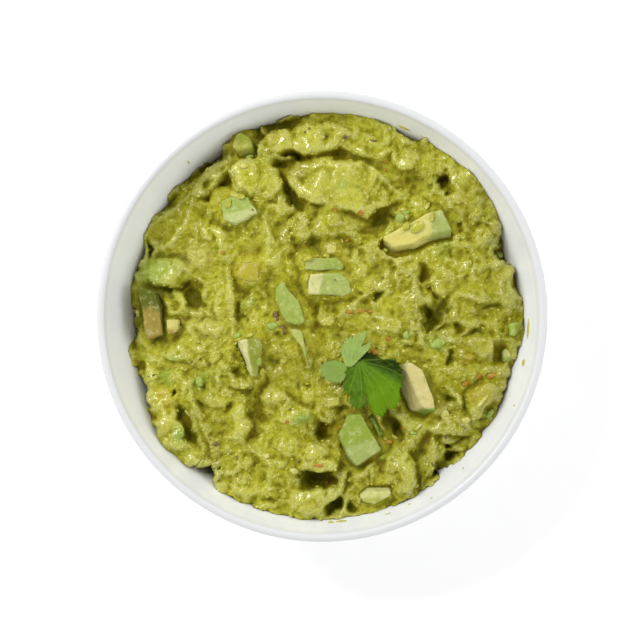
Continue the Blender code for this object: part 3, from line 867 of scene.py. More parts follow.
# %% [markdown]
# The avocado pieces are pushed into the mash, which banks up against their sides. A ray is cast
# down on each CAD piece at every place of the raster, so its visible shape is known. The mash
# then falls away from it as a slope, and stays just under the top of a piece that lies low.
# Inside the piece's outline a pocket is cut down to its underside.


# %% Pockets
NOTHING = -99.0
BANK_SLOPE, BANK_REACH = 0.85, 4.5
COVER_GAP, COVER_SLOPE, COVER_REACH = 0.45, 1.0, 3.0
LOW_PIECE = 50.0
POCKET_GAP = 0.3


def seen_from_above(node):
    """(part of the raster, top, underside) of a CAD node, NOTHING beside it, in millimetres."""
    data = frame["nodes"][node].data
    points = [vertex.co / MM for vertex in data.vertices]
    tree = BVHTree.FromPolygons(points, [tuple(face.vertices) for face in data.polygons])
    part = window([point[:2] for point in points], 5)
    top = np.full(X[part].shape, NOTHING)
    under = top.copy()
    for place in np.ndindex(top.shape):
        x, y = X[part][place], Y[part][place]
        hit = tree.ray_cast((x, y, 99), (0, 0, -1))[0]
        if hit:
            top[place] = hit.z
            under[place] = tree.ray_cast((x, y, -99), (0, 0, 1))[0].z
    return part, top, under


def spread(raster, slope, reach):
    """The slope that falls away from every high place of the raster."""
    rows, columns = raster.shape
    for _ in range(int(reach / STEP)):
        padded = np.pad(raster, 1, mode="edge")
        for i, j in ((0, 1), (2, 1), (1, 0), (1, 2)):
            raster = np.maximum(raster, padded[i:i + rows, j:j + columns] - slope * STEP)
        for i, j in ((0, 0), (0, 2), (2, 0), (2, 2)):
            raster = np.maximum(raster, padded[i:i + rows, j:j + columns] - 1.41 * slope * STEP)
    return raster


CHUNKS = sorted(n for n in frame["nodes"] if n.startswith("avocado_chunk_"))
Bed = namedtuple("Bed", "proud side")
PLAIN_BED = Bed(1.0, 2.6)
BEDS = {
    1: Bed(1.6, 5.5), 2: Bed(1.3, 3.4), 5: Bed(1.5, 3.0), 7: Bed(1.6, 6.0), 8: Bed(6.0, 6.0),
    9: Bed(2.4, 4.0), 10: Bed(2.6, 7.5), 11: Bed(2.6, 5.0), 12: Bed(2.5, 3.0), 13: Bed(3.0, 4.0),
    14: Bed(0.4, 0.8), 15: Bed(0.2, 0.6),
}
chunk_tops = np.full(X.shape, NOTHING)
for node in CHUNKS:
    part, top, under = seen_from_above(node)
    bed = BEDS.get(int(node.rsplit("_", 1)[1]), PLAIN_BED)
    shown = top > top.max() - bed.side
    swell = 0.45 * gradient_noise(X[part], Y[part], 2.4, 31)
    bank = spread(np.where(shown, top - bed.proud, NOTHING), BANK_SLOPE, BANK_REACH)
    cover = -spread(np.where(shown, COVER_GAP - top, NOTHING), COVER_SLOPE, COVER_REACH)
    food = np.where(bank > 0, np.maximum(height[part], bank + swell), height[part])
    food = np.where(cover < LOW_PIECE, np.minimum(food, cover + 0.5 * swell), food)
    middle = shown & (blurred(shown.astype(float), 0.7) > 0.9)
    chunk_tops[part] = np.maximum(chunk_tops[part], np.where(shown, top, NOTHING))
    height[part] = np.where(middle, np.minimum(food, under - POCKET_GAP), food)
print(len(CHUNKS), "pockets")

# %% Leaf bed
LEAF_BASE = (12.6, -14.8)
LEAF_DEPTH = 8.2
LEAF_FOLD = math.radians(-20)
LEAF_SLOPE = 0.25
LEAF_SPREAD = 15.0
LEAF_THICKNESS = 0.5
BED_RADIUS, BED_EDGE, BED_SLOPE = 17, 23, 0.45
FOOD_TOP = 56.7


def leaf_height(x, y):
    """The leaf's middle surface, a soft valley along its fold line, in millimetres."""
    away_x, away_y = x - LEAF_BASE[0], y - LEAF_BASE[1]
    along = away_x * math.cos(LEAF_FOLD) + away_y * math.sin(LEAF_FOLD)
    across = np.abs(away_y * math.cos(LEAF_FOLD) - away_x * math.sin(LEAF_FOLD))
    side = LEAF_SLOPE * across / (1 + across / LEAF_SPREAD)
    return HEIGHT - LEAF_DEPTH + side + 0.09 * np.maximum(along, 0)


bed = np.hypot(X - LEAF_BASE[0] - 1, Y - LEAF_BASE[1] + 5)
under_leaf = leaf_height(X, Y) - LEAF_THICKNESS / 2 - 0.5
bed_height = under_leaf + BED_SLOPE * np.maximum(bed - BED_RADIUS, 0)
height = np.where(bed < BED_EDGE, np.minimum(height, bed_height), height)
height = np.minimum(height, FOOD_TOP)
filled = np.maximum(height, chunk_tops)
print("leaf bed cut, highest place now", round(height.max(), 1), "mm")

# %% [markdown]
# The mesh is a square grid pressed into a disc, so that its cells stay even from the middle to
# the wall. Its edge follows the bowl's inside at the height the food has there. High places
# are pushed outwards over the low ones beside them, which makes the overhanging lips that a
# plain height cannot have. Below the edge the solid follows the wall down to the floor.

# %% Sample the surface
GRID = 290
WALL_GAP = 0.06
OVERHANG = 0.62
SKIRT = 7
WALL_RING = 70
FIRST_EDGE = 68.5


def sampled(raster, x, y):
    """The raster's value at places between its points."""
    u = np.clip((x + HALF) / STEP, 0, len(axis) - 1.001)
    v = np.clip((y + HALF) / STEP, 0, len(axis) - 1.001)
    i, j = u.astype(int), v.astype(int)
    f, g = u - i, v - j
    low = raster[j, i] * (1 - f) + raster[j, i + 1] * f
    high = raster[j + 1, i] * (1 - f) + raster[j + 1, i + 1] * f
    return low * (1 - g) + high * g


def disc_grid(count):
    """(share of the radius, angle) of a square grid pressed into a disc."""
    side = np.linspace(-1, 1, count + 1)
    a, b = np.meshgrid(side, side)
    wide = np.abs(a) > np.abs(b)
    safe_a = np.where(a == 0, 1, a)
    safe_b = np.where(b == 0, 1, b)
    share = np.where(wide, a, b)
    angle = np.where(wide, np.pi / 4 * b / safe_a, np.pi / 2 - np.pi / 4 * a / safe_b)
    angle = np.where((a == 0) & (b == 0), 0, angle)
    return np.abs(share), np.where(share < 0, angle + np.pi, angle)


share, angle = disc_grid(GRID)
around_x, around_y = WALL_RING * np.cos(angle), WALL_RING * np.sin(angle)
ragged = 1.5 * np.clip(gradient_noise(around_x, around_y, 5.0, 33) - 0.12, 0, 1)
ragged += 0.7 * np.clip(gradient_noise(around_x, around_y, 1.9, 34) - 0.1, 0, 1)
edge = np.full(angle.shape, FIRST_EDGE)
for _ in range(6):
    edge_height = sampled(height, edge * np.cos(angle), edge * np.sin(angle))
    edge = inner_radius(HEIGHT - edge_height) - WALL_GAP - ragged
reach = share * edge
grid_x, grid_y = reach * np.cos(angle), reach * np.sin(angle)
grid_z = sampled(height, grid_x, grid_y)

clinging = np.clip(gradient_noise(grid_x, grid_y, 7, 32) + 0.4, 0, 1) * (grid_x > -58)
grid_z += 0.7 * np.clip((share - 0.972) / 0.028, 0, 1) * clinging

slope_y, slope_x = np.gradient(blurred(filled, 0.8), STEP)
tame = 1 / (1 + 0.55 * np.hypot(slope_x, slope_y))
proud = np.clip(height - blurred(filled, 3.2), -0.5, 1.6)
free = np.clip((0.985 - share) * 40, 0, 1) * OVERHANG
push_x = sampled(blurred(slope_x * tame * proud, 0.6), grid_x, grid_y) * free
push_y = sampled(blurred(slope_y * tame * proud, 0.6), grid_x, grid_y) * free
grid_x, grid_y = grid_x - push_x, grid_y - push_y
away = np.hypot(grid_x, grid_y)
limit = inner_radius(HEIGHT - grid_z) - WALL_GAP
pull = np.minimum(1, limit / np.maximum(away, 1))
grid_x, grid_y = grid_x * pull, grid_y * pull
print("overhang up to", round(float(np.hypot(push_x, push_y).max()), 2), "mm")


# %% Build the solid
def border(count):
    """Grid numbers of the outer edge, counter-clockwise from above."""
    wide = count + 1
    south = list(range(count))
    east = [i * wide + count for i in range(count)]
    north = [count * wide + count - i for i in range(count)]
    west = [(count - i) * wide for i in range(count)]
    return south + east + north + west


def dip_solid():
    wide = GRID + 1
    top = np.column_stack([grid_x.ravel(), grid_y.ravel(), grid_z.ravel()])
    corner = (np.arange(GRID)[:, None] * wide + np.arange(GRID)[None, :]).ravel()
    quads = np.column_stack([corner, corner + 1, corner + 1 + wide, corner + wide])
    rim = border(GRID)
    points = [top]
    faces = quads.tolist()
    ring = np.array(rim)
    edge_points = top[ring]
    turn = np.arctan2(edge_points[:, 1], edge_points[:, 0])
    total = len(top)
    for step in range(1, SKIRT + 1):
        z = edge_points[:, 2] + (FLOOR + 0.4 - edge_points[:, 2]) * step / SKIRT
        spread_out = np.hypot(edge_points[:, 0], edge_points[:, 1]) + 0.35 * (edge_points[:, 2] - z)
        radius = np.minimum(inner_radius(HEIGHT - z) - WALL_GAP, spread_out)
        below = np.column_stack([radius * np.cos(turn), radius * np.sin(turn), z])
        new = total + np.arange(len(ring))
        after = np.roll(new, -1)
        faces += np.column_stack([ring, new, after, np.roll(ring, -1)]).tolist()
        points.append(below)
        total += len(new)
        ring = new
    faces.append(ring[::-1].tolist())
    return np.vstack(points), faces, len(top)


dip_points, dip_faces, top_count = dip_solid()
print(len(dip_points), "points")

# %% [markdown]
# ## Guacamole finish
# The mash is olive yellow. Its crests are painted paler, a painted highlight where they stand up
# to the light, and its creases, gaps and holes are painted a dark brown green, a painted shade.
# Small pale dots on its raised places are painted glints. Some places show green flesh from near
# the avocado's skin, some the yellow or beige flesh from near its stone, and large patches are
# painted darker. These are kept on the mesh as attributes, so they stay in place in any view or
# export.

# %% Colour attributes
GREEN_PATCHES = (
    Hollow(-57.4, 15.6, 13, 10, 10, 0.75),
    Hollow(-54.2, -20.9, 5, 5, 0, 0.9),
    Hollow(-42.2, -22.9, 5, 6, 0, 0.8),
    Hollow(-50.5, -14.9, 5, 2.6, 0, 0.7),
    Hollow(-6.8, -35.4, 6.5, 4.4, 10, 0.9),
    Hollow(39.3, -9.7, 7, 4.4, 0, 0.9),
    Hollow(28.6, -6.6, 2.6, 3.2, 0, 1.0),
    Hollow(-25, 54.2, 4.4, 2.6, 0, 0.9),
    Hollow(7.3, 44.7, 3.6, 2.6, 0, 0.8),
    Hollow(-47.9, -40.6, 3.4, 4.6, 0, 1.0),
    Hollow(57.4, -33.7, 3.6, 4.4, 20, 0.9),
    Hollow(-26, 5, 6, 9, 0, 0.35),
    Hollow(20, -50, 5, 6, 0, 0.4),
    Hollow(42, 22, 6, 5, 0, 0.35),
)
YELLOW_PATCHES = (
    Hollow(-25, 15.4, 10, 9, 0, 0.8),
    Hollow(-53.5, -27.7, 6, 8.5, 10, 0.7),
    Hollow(49.8, -13.8, 4.4, 5, 0, 0.8),
    Hollow(54.4, -26.5, 9, 6, -30, 0.7),
    Hollow(-31, 60, 8, 5, 20, 0.6),
    Hollow(-18, 62, 8, 5, 0, 0.5),
    Hollow(3, 22, 8, 6, 0, 0.6),
    Hollow(12, -33, 5, 4, 0, 0.5),
    Hollow(30, -24, 5, 8, 30, 0.6),
)
PALE_PATCHES = (
    Hollow(41.9, -34, 3.2, 5, 0, 1.0),
    Hollow(49.3, -35.4, 3.4, 2.4, 0, 1.0),
    Hollow(-40, -4, 12, 8, 0, 0.4),
    Hollow(4, 44, 16, 8, 0, 0.25),
    Hollow(-45, 20, 9, 6, 10, 0.5),
)
# Large patches where the mash is painted darker: round the deep hollows this is a painted shade, and the
# big one on the right darkens that side.
DARKER_PATCHES = (
    Hollow(58, -2, 44, 110, 0, 0.35),
    Hollow(6, 24, 26, 14, 10, 0.4),
    Hollow(-8, -16, 30, 16, 30, 0.35),
    Hollow(28, -22, 24, 14, 20, 0.4),
    Hollow(36, 4, 14, 26, 0, 0.5),
    Hollow(-46, 46, 26, 12, 42, 0.5),
    Hollow(-38, -36, 10, 24, 20, 0.4),
    Hollow(2, -40, 22, 9, 0, 0.4),
    Hollow(-12, 51, 24, 8, -10, 0.4),
)


def patch_mask(x, y, patches):
    best = np.zeros(np.shape(x))
    for patch in patches:
        best = np.maximum(best, patch.depth * oval(x, y, patch, 5)[0])
    return best


dip_x, dip_y = dip_points.T[:2]
surface = sampled(height, dip_x, dip_y)
# Painted shade: crease and pit find the creases, gaps and holes, and their mix darkens the mash there as
# shade would.
crease = np.clip((sampled(blurred(filled, 1.0), dip_x, dip_y) - surface) / 0.55, 0, 1)
pit = np.clip((sampled(blurred(filled, 4.0), dip_x, dip_y) - surface - 0.4) / 2.8, 0, 1)
# crest finds the high places, which the paint lightens as a painted highlight.
crest = np.clip((surface - sampled(blurred(filled, 1.6), dip_x, dip_y)) / 0.75, 0, 1)
crease_shade = np.clip(0.55 * crease + 1.15 * pit, 0, 1)
# The skirt down the wall is in full painted shade.
crease_shade[top_count:] = 1.0
bent = sampled(BENT_X, dip_x, dip_y), sampled(BENT_Y, dip_x, dip_y)
print("deep places", round(float(crease_shade[:top_count].mean()), 2))


# %% Guacamole paint
def guacamole_paint():
    paint = Paint("guacamole")
    broad = paint.speckle(11, 3, 0.55, 0.6)
    medium = paint.speckle(3.0, 3, 0.6, 0.8)
    fine = paint.speckle(1.3, 1, 0.5, 0.4)
    low, crest = paint.attribute("low"), paint.attribute("crest")
    mash = paint.mix(broad.above(0.34, 0.64), (0.312, 0.294, 0.008), (0.434, 0.430, 0.023))
    mash = paint.mix(medium.above(0.50, 0.68) * 0.45, mash, (0.520, 0.512, 0.078))
    mash = paint.mix(medium.above(0.30, 0.46) * -0.45 + 0.45, mash, (0.220, 0.222, 0.004))
    mash = paint.mix(fine.above(0.50, 0.68) * 0.36, mash, (0.560, 0.550, 0.115))
    mash = paint.mix(fine.above(0.46, 0.30) * 0.30, mash, (0.200, 0.196, 0.004))
    # Painted highlight: the crests are lightened.
    mash = paint.mix(crest * 0.45, mash, (0.570, 0.565, 0.120))
    green = paint.attribute("green") * broad.above(0.15, 0.45)
    mash = paint.mix(green * 0.75, mash, (0.235, 0.350, 0.040))
    mash = paint.mix(paint.attribute("yellow") * 0.75, mash, (0.480, 0.375, 0.025))
    mash = paint.mix(paint.attribute("pale") * 0.7, mash, (0.640, 0.600, 0.180))
    # Painted shade round the deep hollows, and a darker right-hand side, from the large patches.
    mash = paint.mix(paint.attribute("darker") * 0.6, mash, (0.190, 0.175, 0.003))
    stain = paint.speckle(4.2, 3, 0.6, 0.5, paint.node("ShaderNodeVectorMath", {"operation": "ADD"},
                                                      {0: paint.place, 1: (0.3, 0.1, 0.2)}))
    mash = paint.mix(stain.above(0.62, 0.74) * 0.40, mash, (0.330, 0.230, 0.060))
    # Painted shade: the creases, gaps and skirt turn a dark brown green.
    deep = paint.mix(broad.above(0.42, 0.58), (0.100, 0.094, 0.001), (0.165, 0.118, 0.001))
    mash = paint.mix(low * 0.84, mash, deep)
    # Painted glints: small pale dots on raised places stand in for wet highlights.
    painted_glint = paint.speckle(0.62, 0, 0.5)
    raised = (crest + medium - low).above(0.40, 1.00)
    mash = paint.mix(painted_glint.above(0.66, 0.72) * raised * 0.34, mash, (0.820, 0.800, 0.480))
    fibre = paint.speckle(0.5, 1, 0.5)
    mash = paint.mix(fibre.above(0.70, 0.78) * 0.30, mash, (0.160, 0.110, 0.030))
    paint.set(Base_Color=mash)
    paint.set(Roughness=0.34 + medium * 0.2, Specular_IOR_Level=0.14)
    lumpy = paint.bump(medium, 0.50, 0.8)
    grainy = paint.bump(fine, 0.55, 1.0, under=lumpy)
    tiny = paint.speckle(0.75, 0, 0.5)
    paint.set(Normal=paint.bump(tiny, 0.26, 1.0, under=grainy))
    wet = (crest + fine * 0.8 - low - 0.30).above(0.0, 0.7)
    paint.set(Coat_Weight=wet * 0.8, Coat_Roughness=0.12, IOR=1.40)
    paint.set(Subsurface_Weight=0.08, Subsurface_Radius=(1.0, 0.9, 0.25), Subsurface_Scale=0.0010)
    return paint.material


dip = mesh_object("guacamole_dip", dip_points, dip_faces, guacamole_paint())
store(dip, "low", crease_shade)
store(dip, "crest", crest)
store(dip, "green", patch_mask(*bent, GREEN_PATCHES))
store(dip, "yellow", patch_mask(*bent, YELLOW_PATCHES))
store(dip, "pale", patch_mask(*bent, PALE_PATCHES))
store(dip, "darker", patch_mask(*bent, DARKER_PATCHES))
settle(dip, "guacamole", "guacamole")

# %% [markdown]
# ## Avocado pieces
# Each piece is a knife-cut wedge of ripe fruit: flat faces, softened corners, faint ripples,
# cream flesh by the stone turning green towards the skin. The CAD solid gives the exact wedge.
# A copy of it is merged and remeshed finely, its corners are eased by smoothing, and soft
# noise takes away the last of the machined look. Each row of the table holds a piece's two
# colours, the compass direction from one to the other, where the change starts and stops, and
# how much painted shade darkens its sides.

# %% Avocado flesh
Flesh = namedtuple("Flesh", "pale fresh direction start stop side")
CREAM, BUTTER, SAND = (0.60, 0.55, 0.16), (0.62, 0.61, 0.26), (0.42, 0.32, 0.07)
LIME, MOSS, LEAF_GREEN = (0.39, 0.45, 0.12), (0.24, 0.28, 0.03), (0.33, 0.41, 0.075)
# The last number of a row, side, is how much painted shade darkens the piece's sides.
FLESH = {
    1: Flesh((0.68, 0.62, 0.17), LIME, 0, 0.58, 0.80, 0.0),
    2: Flesh((0.36, 0.46, 0.10), (0.52, 0.58, 0.22), -75, 0.40, 0.60, 0.0),
    3: Flesh(LIME, LEAF_GREEN, 0, 0.2, 0.8, 0.0),
    4: Flesh(BUTTER, (0.37, 0.44, 0.11), -12, 0.26, 0.40, 0.0),
    5: Flesh(LEAF_GREEN, LEAF_GREEN, 0, 0.2, 0.8, 0.0),
    6: Flesh((0.44, 0.47, 0.12), LEAF_GREEN, -90, 0.3, 0.9, 0.0),
    7: Flesh(BUTTER, (0.27, 0.30, 0.04), 8, 0.42, 0.62, 0.0),
    8: Flesh((0.115, 0.135, 0.010), (0.34, 0.26, 0.05), -90, 0.24, 0.62, 0.5),
    9: Flesh(CREAM, SAND, -90, 0.3, 0.9, 0.0),
    10: Flesh((0.62, 0.54, 0.22), (0.20, 0.31, 0.035), -78, 0.80, 0.92, 0.85),
    11: Flesh((0.27, 0.36, 0.045), (0.36, 0.43, 0.12), -75, 0.52, 0.66, 0.5),
    12: Flesh((0.17, 0.27, 0.03), (0.17, 0.27, 0.03), 0, 0.2, 0.8, 0.2),
    13: Flesh((0.44, 0.44, 0.07), (0.33, 0.37, 0.04), 60, 0.3, 0.8, 0.0),
    14: Flesh((0.44, 0.37, 0.025), (0.42, 0.37, 0.035), 0, 0.2, 0.8, 0.0),
    15: Flesh((0.60, 0.52, 0.15), (0.56, 0.50, 0.12), 0, 0.2, 0.8, 0.0),
    16: Flesh((0.36, 0.46, 0.08), MOSS, 0, 0.3, 0.9, 0.1),
    17: Flesh((0.50, 0.52, 0.16), LEAF_GREEN, -90, 0.3, 0.9, 0.0),
    18: Flesh((0.60, 0.60, 0.22), (0.44, 0.46, 0.10), -90, 0.4, 0.9, 0.0),
}


print(len(FLESH), "kinds of flesh")

# %% [markdown]
# Ripe flesh lets a little light in, so it has some subsurface scattering. Soft clouds move the
# border between its two colours, streaks follow the fibres, and a few fine brown dots show
# where it has begun to turn.

# %% Flesh paint
DULLING = 0.07


def flesh_paint(number, flesh):
    paint = Paint(f"avocado flesh {number}")
    streaks = paint.speckle(1.7, 3, 0.6, 0.4)
    clouds = paint.speckle(5.0, 2, 0.5)
    ripe = (paint.attribute("ripe") + clouds * 0.7 - 0.35).above(0.25, 0.75)
    colour = paint.mix(ripe, flesh.pale, flesh.fresh)
    colour = paint.mix(streaks.above(0.50, 0.72) * 0.42, colour, (0.70, 0.68, 0.34))
    colour = paint.mix(streaks.above(0.46, 0.28) * 0.34, colour, (0.22, 0.25, 0.03))
    colour = paint.mix(paint.attribute("smeared") * 0.8, colour, (0.44, 0.42, 0.06))
    # Painted shade: the sides that do not face up turn dark green.
    colour = paint.mix(paint.attribute("dark") * 0.75, colour, (0.10, 0.12, 0.01))
    dots = paint.speckle(0.55, 1, 0.4)
    colour = paint.mix(dots.above(0.72, 0.78) * 0.45, colour, (0.25, 0.16, 0.05))
    colour = paint.mix(DULLING, colour, (0.0, 0.0, 0.0))
    paint.set(Base_Color=colour, Roughness=0.34 + clouds * 0.16)
    ripple = paint.bump(streaks, 0.28, 0.8)
    paint.set(Normal=paint.bump(dots, 0.06, 0.5, under=ripple))
    paint.set(Coat_Weight=0.06, Coat_Roughness=0.18, IOR=1.4, Specular_IOR_Level=0.18)
    paint.set(Subsurface_Weight=0.18, Subsurface_Radius=(1.0, 0.9, 0.35), Subsurface_Scale=0.0022)
    return paint.material


# %% [markdown]
# Voxel remeshing gives the flat CAD faces enough points for ripples. Each piece's masks are
# stored on the mesh: how ripe it is, where its sides get painted shade, and where mash clings
# to its foot.


# %% Wedges
VOXEL = 0.34


def merged_copy(node, name):
    bm = bmesh.new()
    bm.from_mesh(frame["nodes"][node].data)
    bmesh.ops.remove_doubles(bm, verts=bm.verts, dist=2e-6)
    mesh = bpy.data.meshes.new(name)
    bm.to_mesh(mesh)
    bm.free()
    obj = bpy.data.objects.new(name, mesh)
    bpy.context.scene.collection.objects.link(obj)
    return obj


def along_share(points, direction):
    """From 0 to 1 across the points, in a compass direction given in degrees."""
    way = math.radians(direction)
    run = points[:, 0] * math.cos(way) + points[:, 1] * math.sin(way)
    return (run - run.min()) / (run.max() - run.min())


spread_height = blurred(height, 1.6)


def avocado_piece(number, flesh):
    node = f"avocado_chunk_{number}"
    obj = merged_copy(node, f"avocado_piece_{number}")
    remesh = obj.modifiers.new("fine", "REMESH")
    remesh.mode = "VOXEL"
    remesh.voxel_size = VOXEL * MM
    ease = obj.modifiers.new("ease", "SMOOTH")
    ease.factor = 0.6
    ease.iterations = 3
    applied(obj)
    points = coordinates(obj) / MM
    normals = coordinates(obj, field="normal")
    x, y, z = points.T
    swell = 0.20 * gradient_noise(x + z, y - z, 4.2, 100 + number)
    swell -= 0.55 * np.abs(gradient_noise(x - 0.5 * z, y + 0.5 * z, 7.0, 400 + number))
    swell += 0.09 * gradient_noise(x - z, y + z, 1.7, 200 + number)
    points += normals * swell[:, None]
    obj.data.vertices.foreach_set("co", (points * MM).astype(np.float32).ravel())
    obj.data.shade_smooth()
    share = along_share(points, flesh.direction)
    ripe = np.clip((share - flesh.start) / (flesh.stop - flesh.start), 0, 1)
    store(obj, "ripe", ripe)
    # The painted shade grows as the face turns away from straight up.
    dark = flesh.side * np.clip(1.25 - 1.9 * normals[:, 2], 0, 1)
    buried = np.clip((sampled(spread_height, x, y) - z + 0.9) / 1.6, 0, 1)
    store(obj, "dark", np.clip(dark, 0, 1))
    store(obj, "smeared", buried * (0.5 + 0.5 * gradient_noise(x, y, 2.4, 300 + number)))
    obj.data.materials.clear()
    obj.data.materials.append(flesh_paint(number, flesh))
    return settle(obj, record_slot[node], node)


record_slot = {row["node"]: row["material_slot"] for row in frame["record"]["subparts"]}
for number, flesh in FLESH.items():
    avocado_piece(number, flesh)

# %% [markdown]
# ## Coriander leaf
# One small leaf of three leaflets: a wide fan folded along a valley, a rounded one on the left
# and a paler one standing up at the top. Each is a polar grid about its own stalk end. Its
# outline is a short list of (angle, distance) corners, with small teeth added by a wave. The
# veins, given by their directions from the stalk, are raised and paler, with twigs beside them.

# %% Leaf outlines
Leaflet = namedtuple("Leaflet", "base outline lift colour")
LEAFLETS = (
    Leaflet(
        (12.82, -14.88),
        ((58, 2.6), (50, 3.6), (30, 4.6), (16, 5.4), (6, 7.0), (0, 9.4), (2.5, 12.2), (-7, 13.0),
         (-12, 14.9), (-18, 14.8), (-21, 16.3), (-27, 16.0), (-32, 17.1), (-36, 16.8),
         (-43, 19.0), (-53, 20.4), (-57, 20.0), (-59.3, 17.4), (-62, 19.6), (-67, 20.5),
         (-72, 19.8), (-76, 18.0), (-78, 14.6), (-79, 11.6), (-81, 15.2), (-86, 15.6),
         (-90, 16.8), (-96, 16.2), (-102, 15.0), (-105, 12.0), (-109, 12.2), (-118, 11.3),
         (-125, 9.6), (-128, 8.2), (-134, 8.3), (-141, 6.4), (-148, 3.4), (-170, 1.2)),
        0.0, "fan",
    ),
    Leaflet(
        (8.6, -17.7),
        ((100, 0.8), (120, 1.7), (134, 3.3), (148, 5.2), (156, 6.2), (166, 7.8), (177, 9.1),
         (188, 8.9), (197, 8.8), (208, 8.0), (222, 6.9), (234, 6.0), (247, 5.2), (258, 3.6),
         (275, 1.0)),
        0.5, "left",
    ),
    Leaflet(
        (9.13, -17.15),
        ((0, 0.8), (22, 2.2), (34, 4.2), (39, 8.0), (43, 10.4), (48, 11.2), (53, 9.2),
         (57, 7.9), (59.5, 10.6), (62, 13.8), (66.5, 13.0), (73, 11.2), (80, 10.3),
         (88, 9.8), (96, 9.1), (104, 7.8), (112, 6.5), (121, 4.3), (140, 1.6), (165, 0.8)),
        1.1, "upper",
    ),
)
LEAF_STEPS = 400
LEAF_RINGS = 16
LEAF_TOOTH = 0.85


def leaflet_edge(leaflet):
    """(angles, distances) all round the leaflet, evenly spread along its outline."""
    corners = np.array(leaflet.outline, float)
    turn = np.radians(corners[:, 0])
    flat = np.column_stack([corners[:, 1] * np.cos(turn), corners[:, 1] * np.sin(turn)])
    flat = np.vstack([flat, flat[:1]])
    run = np.concatenate([[0], np.cumsum(np.hypot(*np.diff(flat, axis=0).T))])
    marks = np.linspace(0, run[-1], LEAF_STEPS, endpoint=False)
    edge_points = np.column_stack([np.interp(marks, run, flat[:, i]) for i in (0, 1)])
    soft = (np.roll(edge_points, 1, 0) + 2 * edge_points + np.roll(edge_points, -1, 0)) / 4
    size = np.hypot(*soft.T)
    tooth = LEAF_TOOTH * (np.abs(((marks / 1.35) % 1) - 0.5) * 2 - 0.5) * np.clip(size / 5, 0, 1)
    return soft * (1 + tooth / np.maximum(size, 1))[:, None]


def leaflet_rise(leaflet, x, y):
    """Height in millimetres over the common leaf surface."""
    away_x, away_y = x - leaflet.base[0], y - leaflet.base[1]
    size = np.hypot(away_x, away_y)
    ripple = 0.22 * np.sin(size * 1.1 + 2.0 * np.arctan2(away_y, away_x))
    return leaflet.lift * np.clip(size / 6, 0.15, 1) + ripple * np.clip(size / 8, 0, 1)


# %% Veins
VEINS = {
    "fan": (-3, -21, -40, -56, -70, -90, -112),
    "left": (140, 165, 192, 220),
    "upper": (46, 61, 80, 100),
}
TWIGS = (5, 8.5, 12)
TWIG_LEAN = 0.62
TWIG_LENGTH = 4


def vein_mask(leaflet, x, y):
    away_x, away_y = x - leaflet.base[0], y - leaflet.base[1]
    size = np.hypot(away_x, away_y)
    best = np.zeros(x.shape)
    for direction in VEINS[leaflet.colour]:
        way = np.radians(direction + 5 * np.sin(size / 5))
        along = away_x * np.cos(way) + away_y * np.sin(way)
        across = np.abs(away_y * np.cos(way) - away_x * np.sin(way))
        width = 0.34 - 0.010 * size
        best = np.maximum(best, np.exp(-((across / width) ** 2)) * (along > 0))
        for twig in TWIGS:
            for side in (-1, 1):
                start_x, start_y = twig * np.cos(way), twig * np.sin(way)
                lean = way + side * TWIG_LEAN
                run = (away_x - start_x) * np.cos(lean) + (away_y - start_y) * np.sin(lean)
                off = np.abs((away_y - start_y) * np.cos(lean) - (away_x - start_x) * np.sin(lean))
                fine = 0.55 * np.exp(-((off / 0.2) ** 2)) * ((run > 0) & (run < TWIG_LENGTH))
                best = np.maximum(best, fine)
    return best


# %% Leaf mesh
LEAF_TONES = {"fan": 0.0, "left": 0.62, "upper": 1.0}


def leaf_arrays():
    points, faces, veins, tones, shades, limes = [], [], [], [], [], []
    total = 0
    for leaflet in LEAFLETS:
        edge_points = leaflet_edge(leaflet)
        ring_share = np.linspace(0, 1, LEAF_RINGS + 1)[1:]
        x = leaflet.base[0] + np.outer(ring_share, edge_points[:, 0])
        y = leaflet.base[1] + np.outer(ring_share, edge_points[:, 1])
        x = np.concatenate([[leaflet.base[0]], x.ravel()])
        y = np.concatenate([[leaflet.base[1]], y.ravel()])
        vein = vein_mask(leaflet, x, y)
        z = leaf_height(x, y) + leaflet_rise(leaflet, x, y) + 0.10 * vein
        z += 0.10 * gradient_noise(x, y, 2.2, 41)
        points.append(np.column_stack([x, y, z]))
        number = np.arange(LEAF_STEPS)
        after = (number + 1) % LEAF_STEPS
        faces += [(total, total + 1 + a, total + 1 + b) for a, b in zip(number, after)]
        for ring in range(LEAF_RINGS - 1):
            inner = total + 1 + ring * LEAF_STEPS
            outer = inner + LEAF_STEPS
            rows = zip(inner + number, outer + number, outer + after, inner + after)
            faces += [tuple(int(v) for v in row) for row in rows]
        turn = np.degrees(np.arctan2(y - leaflet.base[1], x - leaflet.base[0]))
        size = np.hypot(y - leaflet.base[1], x - leaflet.base[0])
        fan = leaflet.colour == "fan"
        lobe = np.clip((turn + 80) / 6, 0, 1) * np.clip((-26 - turn) / 10, 0, 1)
        veins.append(vein)
        tones.append(np.full(len(x), LEAF_TONES[leaflet.colour]))
        shades.append(fan * np.clip((turn + 30) / 14, 0, 1))
        limes.append(fan * lobe * np.clip((size - 3) / 9, 0, 1))
        total += len(x)
    masks = {"vein": veins, "tone": tones, "shade": shades, "lime": limes}
    return np.vstack(points), faces, {name: np.concatenate(runs) for name, runs in masks.items()}


# %% [markdown]
# The blade is dark green and a little see-through. The upper leaflet turns its pale back up.
# One side of the fan lies in shade, and its middle lobes are lime green.


